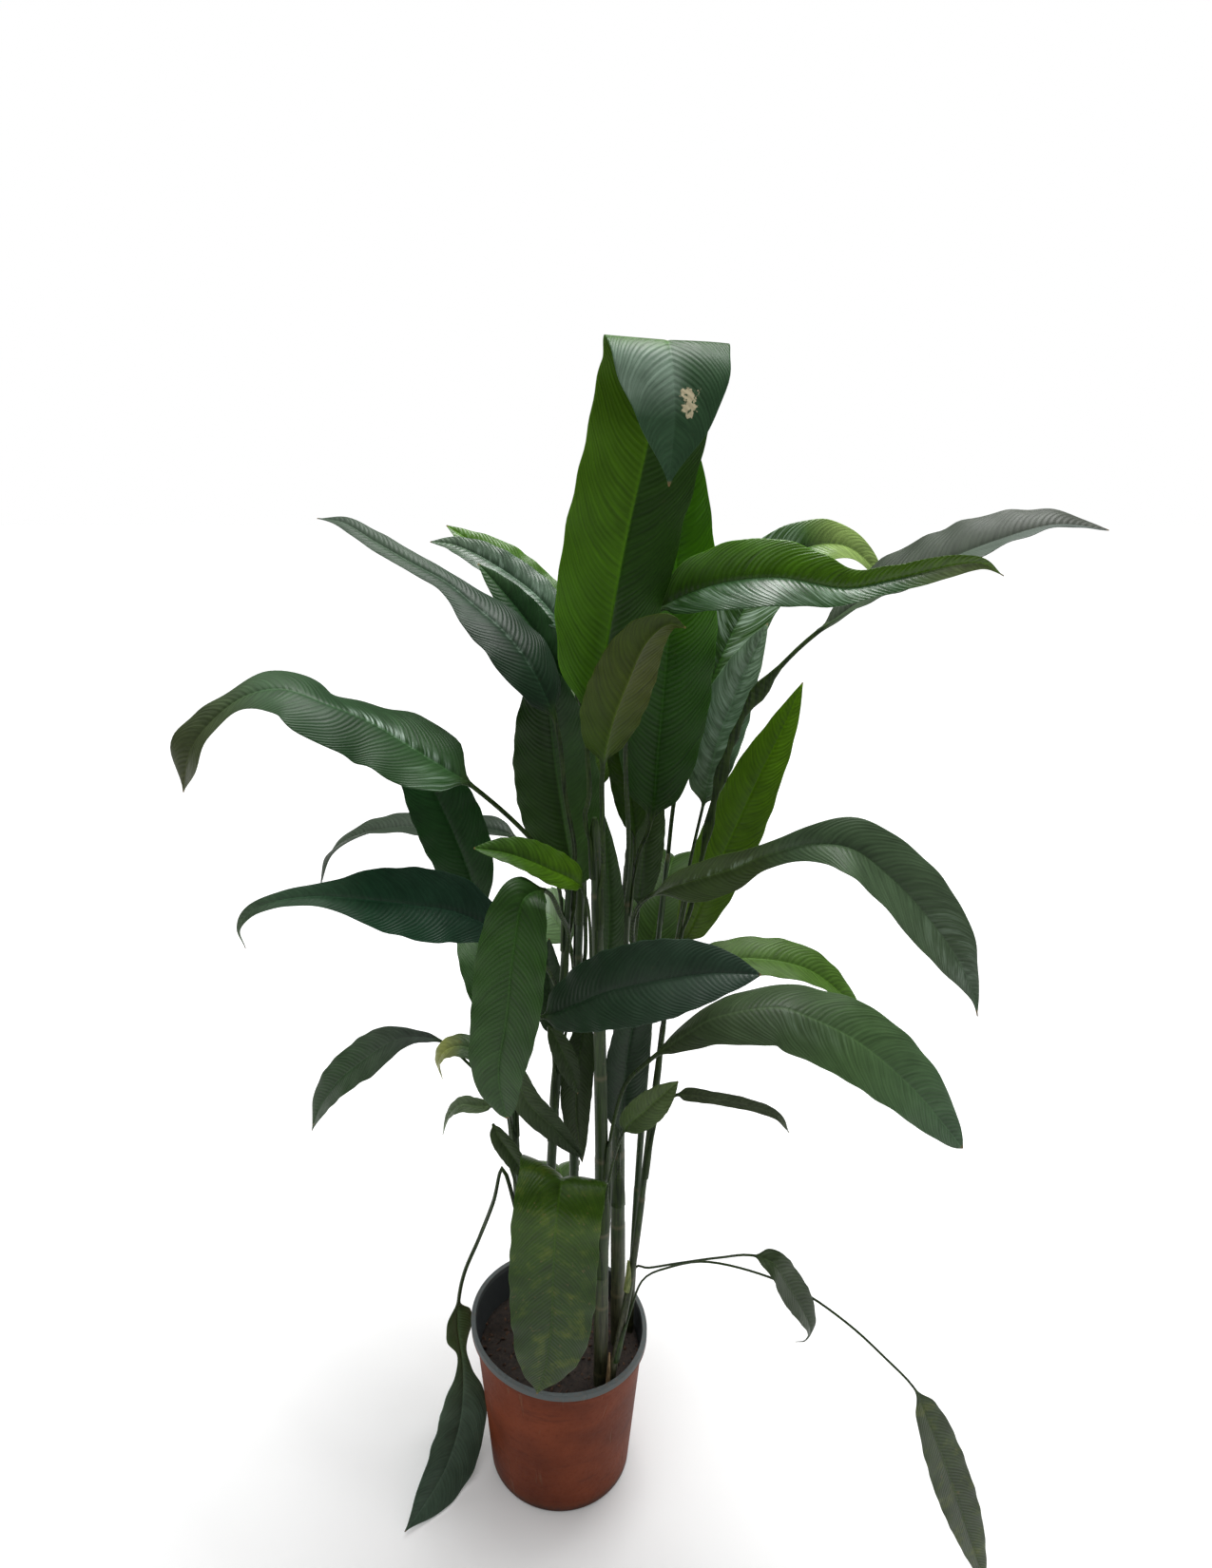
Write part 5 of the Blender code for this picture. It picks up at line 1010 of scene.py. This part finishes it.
def leafSurface():
    # Fine veins that leave the midrib and curve towards the tip, silvery streaks of painted highlight,
    # stains, a pale rib and margin, a dry tip and the streaked stalk. leafPlace holds how far across (-1 to
    # 1), how far along a vein starts in metres, and the leaf's own number; leafTone its colour there;
    # leafMasks rib, margin, dry and stalk; leafStainsAndHighlights the silvery streaks of painted highlight,
    # brown stain and a soft pale painted highlight.
    group, n, given, made = shaderGroup("leafSurface", ("paintedHighlight", "dry", "stalkDark", "stalkLight", "yellow",
                                                        "stain"), ("veins", "mottle", "specks", "roughness"))
    across, veinPlace, number = n.split(n.attribute("leafPlace")[1])
    masks = n.attribute("leafMasks")
    ribMask, marginMask, dryMask = n.add("ShaderNodeSeparateColor", {0: masks[0]}).outputs[:3]
    highlightMask, stainMask, softHighlightMask = n.split(n.attribute("leafStainsAndHighlights")[1])
    own = n.attribute("leafTone")[0]
    where = n.coordinates()
    looks = leafLooks
    broad = n.noise(where, looks["broadScale"], 2.0)
    blotch = n.noise(where, looks["blotchScale"], 4.0, 0.6)
    grain = n.noise(where, looks["grainScale"], 2.0)
    wander = n.swing(n.noise(where, looks["wanderScale"], 1.0), looks["wander"])
    veinStart = n.plus(veinPlace, wander)

    def along(spread, count):  # noise drawn out along the veins
        spot = n.add("ShaderNodeCombineXYZ", {0: n.times(across, spread), 1: n.times(veinStart, count),
                                              2: number}).outputs[0]
        return n.noise(spot, 1.0, 2.0, 0.6)

    fine, wide = along(*looks["fine"]), along(*looks["wide"])
    ridge = n.times(n.math("SINE", n.times(veinStart, 2 * math.pi / leafForm["veinSpacing"])), 0.5)
    lines = n.plus(n.swing(fine, looks["fineLines"]), n.swing(wide, looks["wideLines"]))
    lines = n.times(n.plus(lines, n.times(ridge, looks["ridgeLines"])), given["veins"])
    shade = n.plus(looks["middleShade"], n.times(lines, looks["lineShade"]))
    shade = n.plus(shade, n.swing(broad, looks["broadShade"]))
    shade = n.plus(shade, n.times(n.swing(blotch, looks["blotchShade"]), given["mottle"]), True)
    ownColor = n.vector("SCALE", {0: own, "Scale": n.ramp(shade, 0.0, 1.0, *looks["shades"])})[0]
    paler = n.vector("SCALE", {0: own, "Scale": looks["paler"]})[0]
    glint = n.ramp(n.plus(n.times(wide, 0.75), n.times(fine, 0.45)), *looks["glints"])
    # A soft, cloudy patch of painted highlight where the haze is given
    softHighlightNoise = n.ramp(n.plus(broad, n.times(blotch, 0.5)), *looks["clouds"])
    specks = n.ramp(n.noise(where, looks["speckScale"], 1.0), *looks["specks"])
    yellowed = n.ramp(n.plus(blotch, n.times(fine, 0.15)), *looks["yellows"])
    yellowed = n.times(yellowed, looks["yellowAmount"])
    dryPatch = n.ramp(n.plus(dryMask, n.swing(blotch, 0.7)), *looks["dryPatches"])
    tear = n.swing(n.noise(where, looks["tornScale"], 4.0, 0.65), looks["tornSwing"])
    torn = n.ramp(n.plus(stainMask, tear), *looks["torn"])
    streak = n.noise(n.mapped(where, (1.0, 1.0, 0.06)), looks["streakScale"], 2.0)
    streak = n.ramp(streak, *looks["streaks"])
    color = n.layered(
        ownColor,
        # Painted highlights: silvery streaks along the veins and a soft pale patch, both in the colour of a
        # reflection
        (n.times(glint, highlightMask, True), given["paintedHighlight"]),
        (n.times(softHighlightNoise, softHighlightMask, True), given["paintedHighlight"]),
        (n.times(specks, given["specks"]), given["dry"]),
        (n.times(yellowed, n.ramp(given["mottle"], 0.3, 0.9)), given["yellow"]),
        (n.times(ribMask, looks["ribAmount"]), paler),
        (n.times(marginMask, looks["marginAmount"]), paler),
        (n.times(dryPatch, dryMask, True), given["dry"]),
        (n.times(torn, n.ramp(stainMask, 0.0, 0.25), True), given["stain"]),
        (masks[3], n.mix(streak, given["stalkDark"], given["stalkLight"])))
    roughness = n.plus(given["roughness"], n.swing(blotch, looks["blotchRoughness"]))
    roughness = n.math("SUBTRACT", roughness, n.times(highlightMask, looks["highlightGloss"]))
    roughness = n.plus(roughness, n.times(n.attribute("leafUnder")[2], looks["underRoughness"]))
    roughness = n.plus(roughness, n.times(dryMask, looks["dryRoughness"]), True)
    height = n.plus(n.plus(n.times(lines, 0.5), n.times(grain, 0.2)), n.times(ridge, 0.5))
    finished(n, made, color, roughness, height)
    return group


def runOf(curve):
    return np.concatenate([[0], np.cumsum(np.linalg.norm(np.diff(curve, axis=0), axis=1))])


def bendsOf(curve, run):
    headings = np.diff(curve, axis=0) / np.diff(run)[:, None]
    bends = np.zeros(len(curve))
    bends[1:-1] = np.arccos(np.clip((headings[1:] * headings[:-1]).sum(1), -1, 1))
    return np.cumsum(bends)


def headingsAt(curve, run, distances, step):
    ahead = readAt(distances + step, run, curve) - readAt(distances - step, run, curve)
    return ahead / np.linalg.norm(ahead, axis=1)[:, None]


def shareAt(values, share):
    # A rounded reading of a short list of values spread evenly from 0 to 1
    if len(values) < 3:
        return float(np.interp(share, np.linspace(0, 1, len(values)), values))
    place = share * (len(values) - 1)
    i = min(int(place), len(values) - 2)
    t = place - i
    p0, p1, p2, p3 = values[max(i - 1, 0)], values[i], values[i + 1], values[min(i + 2, len(values) - 1)]
    return 0.5 * (2 * p1 + (p2 - p0) * t + (2 * p0 - 5 * p1 + 4 * p2 - p3) * t ** 2
                  + (3 * p1 - p0 - 3 * p2 + p3) * t ** 3)


def eased(share):
    return share * share * (3 - 2 * share)


def turned(vector, axis, angle):
    along = axis * axis.dot(vector) * (1 - math.cos(angle))
    return vector * math.cos(angle) + np.cross(axis, vector) * math.sin(angle) + along


def spaced(run, bends, begin, end, count, bendWeight):
    # Distances from begin to end that stand closer where the line bends
    fine = np.linspace(begin, end, 200)
    cost = fine - begin + bendWeight * (np.interp(fine, run, bends) - np.interp(begin, run, bends))
    return np.interp(np.linspace(0, cost[-1], count), cost, fine)


def shellMesh(name, rings):
    # A thin closed shell: each ring has the points of its first side and then those of the other
    size = len(rings[0])
    columns = size // 2
    faces = []
    for p in range(0, size * (len(rings) - 1), size):
        q = p + size
        for j in range(columns - 1):
            faces.append((p + j, q + j, q + j + 1, p + j + 1))
            faces.append((p + columns + j, p + columns + j + 1, q + columns + j + 1, q + columns + j))
        faces.append((p, p + columns, q + columns, q))
        faces.append((p + columns - 1, q + columns - 1, q + size - 1, p + size - 1))
    last = size * (len(rings) - 1)
    for j in range(columns - 1):
        faces.append((j, j + 1, columns + j + 1, columns + j))
        faces.append((last + j, last + columns + j, last + columns + j + 1, last + j + 1))
    mesh = bpy.data.meshes.new(name)
    mesh.from_pydata(np.concatenate(rings).tolist(), [], faces)
    return mesh


def petioleSection(radius):
    # A half circle above and one below
    angles = np.radians(np.linspace(162, 18, leafColumns))
    upper = radius * np.stack([np.cos(angles), np.sin(angles)], axis=1)
    return np.concatenate([upper, upper * (1, -1)])


def bladeShare(leaf, share):
    # How wide the blade is there, as a share of its greatest width
    if "widths" in leaf:
        return max(0.0, shareAt(leaf["widths"], share))
    peak, basePower, tipPower = (leaf.get(key, leafForm[key]) for key in ("peak", "basePower", "tipPower"))
    if share < peak:
        return (1 - ((peak - share) / peak) ** 2.4) ** basePower
    return max(0.0, 1 - ((share - peak) / (1 - peak)) ** 2.1) ** tipPower


def bladeSection(leaf, share, halfWidth, rib, salt):
    # Two bowed halves that fold up, with a waved edge, and the rib below; the salt makes each leaf its own
    upper = np.zeros((leafColumns, 2))
    wave = leaf.get("wave", leafForm["bladeWave"])
    waves = (wave * math.sin(9.0 * share + 1.0), wave * math.sin(8.0 * share + 2.6))
    for side, key, swing in ((-1, "left", waves[0]), (1, "right", waves[1])):
        lift = math.radians(shareAt(leaf.get(key, (leaf.get("cup", 0),)), share) + swing)
        bowed = lift + math.radians(leaf.get("bow", leafForm["bladeBow"]))
        edge = np.array((math.cos(lift), math.sin(lift)))
        half = np.array((math.cos(bowed), math.sin(bowed))) / 2
        uneven = leafForm["ragged"][0] * math.sin(71 * share + salt)
        wide = halfWidth * (1 + uneven + leafForm["ragged"][1] * math.sin(37 * share + 2 * salt + side))
        for j, t in enumerate(leafAcross):
            if t * side < 0:
                continue
            a = abs(t)
            point = 4 * a * (1 - a) * half + a * (2 * a - 1) * edge
            ripple = leafForm["ripple"] * a ** 3 * math.sin(46 * share + 1.7 * salt + 2 * side)
            upper[j] = (side * point[0] * wide, (point[1] + ripple) * wide)
    reach = np.abs(leafAcross) * halfWidth
    thick = leafForm["bladeThickness"]
    lower = upper.copy()
    least, ribShare = leafForm["ribEdge"]
    lower[:, 1] -= thick + (rib - thick) * np.exp(-(reach / (least + ribShare * rib)) ** 2)
    depth, least, ribShare = leafForm["ribGroove"]
    upper[:, 1] -= depth * rib * np.exp(-(reach / (least + ribShare * rib)) ** 2)
    return np.concatenate([upper, lower])


def leafWay(leaf):
    # The line of a leaf's middle: off its stem at the top of the sheath, up the petiole, along the midrib
    form = leafForm
    petiole = leaf.get("petiole", [])
    points = metres(petiole + leaf["blade"])
    usual = form["thickPetiole"] if metres(leaf["width"]) > form["wideBlade"] else form["thinPetiole"]
    radius = metres(leaf["petioleRadius"]) if "petioleRadius" in leaf else usual
    sheathTop = metres(leaf["at"]) + form["sheathLength"]
    start, up = stemAxis(leaf["stem"], sheathTop)
    toward = np.array(leaf.get("toward", points[0] - start), float)
    toward = unit(toward - up * toward.dot(up))
    base = start + toward * (stemRadius(leaf["stem"], sheathTop) + stem["seatGap"] + form["standOff"])
    lead = base + up * form["leadLength"] + toward * (radius + form["leadGap"])
    curve = smoothCurve([base, lead, *points])
    run = runOf(curve)
    return curve, run, bendsOf(curve, run), run[curveSteps * (2 + len(petiole))], toward, radius


def leafNormals(leaf, curve, run, bends, bladeStart, toward):
    # The blade's turn is worked out at the solid's own stations, so that both lie on the same surface
    form, length = leafForm, run[-1]
    usual = form["smallStations"] if metres(leaf["width"]) < form["smallBlade"] else form["stations"]
    begin, weight = form["petioleStart"], form["solidBend"]
    petioleBend = np.interp(bladeStart, run, bends) - np.interp(begin, run, bends)
    petioleCount = math.ceil((bladeStart - begin) / form["petioleStep"] + petioleBend / form["petioleBend"])
    petioleCount = max(2, petioleCount)
    places = np.concatenate([
        spaced(run, bends, begin, bladeStart - form["stationStep"], petioleCount, weight),
        spaced(run, bends, bladeStart, length, leaf.get("stations", usual), weight)])
    tangents = headingsAt(curve, run, places, form["stationStep"])
    middle = petioleCount + (len(places) - petioleCount) // 2
    face = unit(leaf["face"])
    normals = [None] * len(places)
    normals[middle] = unit(face - tangents[middle] * face.dot(tangents[middle]))
    for i in list(range(middle + 1, len(places))) + list(range(middle - 1, -1, -1)):
        before = i - 1 if i > middle else i + 1
        axis = np.cross(tangents[before], tangents[i])
        size = np.linalg.norm(axis)
        angle = math.atan2(size, tangents[before].dot(tangents[i]))
        normals[i] = turned(normals[before], axis / size, angle) if size > 1e-9 else normals[before]
    wanted = unit(-toward + tangents[0] * toward.dot(tangents[0]))
    untwist = math.atan2(np.cross(normals[0], wanted).dot(tangents[0]), normals[0].dot(wanted))
    twistBase, twistTip = (math.radians(angle) for angle in leaf.get("twist", (0, 0)))
    for i, distance in enumerate(places):
        if distance < bladeStart:
            ease = 1 - eased(max(0.0, (distance - places[0]) / (bladeStart - places[0])))
            angle = untwist * ease + twistBase * (1 - ease)
        else:
            share = min(1.0, (distance - bladeStart) / (length - bladeStart))
            angle = twistBase * max(0, 1 - 2 * share) + twistTip * max(0, 2 * share - 1)
        normals[i] = turned(normals[i], tangents[i], angle)
    return places, np.array(normals)


def leafTone(leaf, key, share):
    steps = leaf.get(key, leaf["tones"])
    colors = np.array([tone(*color)[:3] for _, *color in steps]) * leafForm["toneGain"]
    grey = colors.mean(axis=1)[:, None]
    colors = np.clip(grey + (colors - grey) * leafForm["toneDepth"], 0.001, 1)
    return np.append(readAt(share, [step[0] for step in steps], colors), 1.0)


def leafMark(leaf, kind, share):
    # How strong the painted highlight (sheen, haze) or the stain is across the blade there
    found = np.zeros(leafColumns)
    for acrossFrom, acrossTo, shareFrom, shareTo, strength in leaf.get(kind, ()):
        soft = min(0.25, (acrossTo - acrossFrom) / 3)
        inside = np.clip((leafAcross - acrossFrom) / soft, 0, 1)
        inside = inside * np.clip((acrossTo - leafAcross) / soft, 0, 1)
        soft = min(0.1, (shareTo - shareFrom) / 3)
        along = np.clip((share - shareFrom) / soft, 0, 1) * np.clip((shareTo - share) / soft, 0, 1)
        found = np.maximum(found, inside * along * strength)
    return found


def sheathRing(stemName, height, toward, angles, inside, outside):
    # An arc round the stem: its inner side, then its outer side; inside and outside stand off the stem
    centre, direction = stemAxis(stemName, height)
    out = unit(toward - direction * toward.dot(direction))
    arc = np.cos(angles)[:, None] * out + np.sin(angles)[:, None] * np.cross(direction, out)
    radius = stemRadius(stemName, height) + stem["seatGap"] + leafForm["facetAllowance"]
    return np.concatenate([centre + (radius + away)[:, None] * arc for away in (inside, outside)])


def leafMesh(name, leaf, salt):
    form, across = leafForm, leafAcross
    curve, run, bends, bladeStart, toward, radius = leafWay(leaf)
    coarse, normals = leafNormals(leaf, curve, run, bends, bladeStart, toward)
    bladeLength = run[-1] - bladeStart
    rings, place, under, masks, tints, marks = [], [], [], [], [], []
    none = np.zeros(leafColumns)
    reach = np.abs(across)
    rightShare = np.interp(across, (-0.02, 0.04), (0, 1))[:, None]

    def addRing(points, veinStart, share, rib, margin, dry, stalk):
        left, right = (leafTone(leaf, key, share) for key in ("tones", "rightTones"))
        tint = left * (1 - rightShare) + right * rightShare
        mark = np.stack([leafMark(leaf, kind, share) for kind in ("paintedHighlight", "stains", "softHighlight")], axis=1)
        rings.append(points)
        for flag in (0.0, 1.0):
            tints.append(tint)
            marks.append(mark)
            place.append(np.stack([across, veinStart, none + salt], axis=1))
            under.append(none + flag)
            masks.append(np.stack([rib, margin, dry, none + stalk], axis=1))

    rim = 0.35 + 0.65 * np.cos(np.linspace(-1.35, 1.35, leafColumns))
    for share in np.linspace(0, 1, form["sheathRings"]):
        span, wall = (np.interp(share, (0, 0.5, 1), form[key]) for key in ("sheathSpans", "sheathWalls"))
        angles = form["sheathSpan"] * span * np.linspace(-0.5, 0.5, leafColumns)
        height = metres(leaf["at"]) + form["sheathLength"] * share
        addRing(sheathRing(leaf["stem"], height, toward, angles, none, wall * rim),
                none, 0.0, none, none, none, 1.0)

    petioleRings = max(6, int((bladeStart - form["petioleStart"]) / form["petioleRing"]))
    bladeRings = form["ringsAtLeast"] + int(bladeLength / form["ringSpacing"])
    fine = np.concatenate([np.linspace(form["petioleStart"], bladeStart - form["ringGap"], petioleRings),
                           spaced(run, bends, bladeStart, run[-1], bladeRings, form["ringBend"])])
    centres, ahead = readAt(fine, run, curve), headingsAt(curve, run, fine, form["ringStep"])
    for centre, heading, distance in zip(centres, ahead, fine):
        normal = readAt(distance, coarse, normals)
        normal = unit(normal - heading * heading.dot(normal))
        side = np.cross(normal, heading)
        section = petioleSection(radius)
        if distance < bladeStart:
            groove = np.exp(-(np.linspace(-1, 1, leafColumns) / form["grooveWidth"]) ** 2)
            section[:leafColumns, 1] -= radius * form["grooveDepth"] * groove
            for wingAt, wingWidth, wingLength in leaf.get("wings", ()):
                near = (distance - metres(wingAt)) / metres(wingLength)
                section[:, 1] *= 1 + wingWidth * math.exp(-near ** 2)
            addRing(centre + section[:, :1] * side + section[:, 1:] * normal,
                    none + distance, 0.0, none, none, none, 1.0)
            continue
        share = min(1.0, (distance - bladeStart) / bladeLength)
        halfWidth = max(metres(leaf["width"]) * bladeShare(leaf, share),
                        form["tipHalfWidth"] * (1 - form["tipNarrow"] * share))
        rib = radius * form["ribWidth"] * (1 - share) ** 0.8 + form["ribTip"]
        mix = eased(min(1.0, share / form["bladeEase"]))
        section = bladeSection(leaf, share, halfWidth, rib, salt) * mix + section * (1 - mix)
        veinStart = distance - halfWidth * (form["veinLean"][0] * reach + form["veinLean"][1] * reach ** 3)
        ribEnd = leaf.get("ribEnd", 2)
        ribMask = np.exp(-(reach * halfWidth / (form["ribMask"][0] + form["ribMask"][1] * rib)) ** 2)
        ribMask = ribMask * np.interp(share, (ribEnd - 0.04, ribEnd), (1.0, 0.1))
        margin = np.interp(reach, (0.97, 1.0), (0.0, 0.5))
        dry = none + np.clip((share - (1 - 2 * form["tipDry"])) / form["tipDry"], 0, 1)
        addRing(centre + section[:, :1] * side + section[:, 1:] * normal,
                veinStart, share, ribMask, margin, dry, 1 - mix)

    mesh = shellMesh(name, rings)
    for label, kind, key, values in (("leafPlace", "FLOAT_VECTOR", "vector", place),
                                     ("leafUnder", "FLOAT", "value", under),
                                     ("leafTone", "FLOAT_COLOR", "color", tints),
                                     ("leafStainsAndHighlights", "FLOAT_VECTOR", "vector", marks),
                                     ("leafMasks", "FLOAT_COLOR", "color", masks)):
        flat = np.concatenate(values).astype(np.float32).ravel()
        mesh.attributes.new(label, kind, "POINT").data.foreach_set(key, flat)
    return mesh


def buildLeaves():
    surface = leafSurface()
    paints = {}
    for label, values in leafPaints.items():
        paints[label] = material("leaf_" + label, surface, {**leafCommon, **values}, leafForm["bumpDepth"],
                                 leafForm["gloss"][label])
    for order, (name, leaf) in enumerate(leaves.items()):
        addPiece(name + "_blade", leafMesh(name, leaf, leafForm["saltStep"] * order), name,
                 paints[leaf.get("paint", "soft")])
    print("leaves made:", len(leaves))


buildLeaves()


def sheathMesh(name, sheath):
    # A dry split tube that hugs its stem, ragged and a little curled at its top edge
    rows, columns = husk["rows"], husk["columns"]
    across = np.linspace(-0.5, 0.5, columns)
    wall = metres(sheath["wall"]) * (husk["edgeWall"] + (1 - husk["edgeWall"]) * np.cos(math.pi * across))
    rings = []
    for i in range(rows):
        share = i / (rows - 1)
        height = metres(sheath["at"]) + metres(sheath["length"]) * share
        spread = np.interp(share, (0, 0.33, 0.66, 1), husk["spreads"])
        lift = husk["curl"] * share ** 2 + husk["ragged"] * np.sin(9 * np.arange(columns) + 5 * i)
        rings.append(sheathRing(sheath["stem"], height, unit(sheath["toward"]),
                                leafForm["sheathSpan"] * spread * across, 0.8 * lift, wall + lift))
    return shellMesh(name, rings)


def buildSheaths():
    surface = bpy.data.node_groups["stemSurface"]
    for name, sheath in bareSheaths.items():
        dark, light, scar = (tone(*sheath[key]) for key in ("dark", "light", "scar"))
        looks = dict(low=dark, lowLight=light, high=dark, highLight=light, scar=scar, turn=husk["turn"])
        addPiece(name + "_husk", sheathMesh(name + "_husk", sheath), name,
                 material(name + "_husk", surface, looks, husk["bumpDepth"]))
    print("bare sheaths made")


buildSheaths()
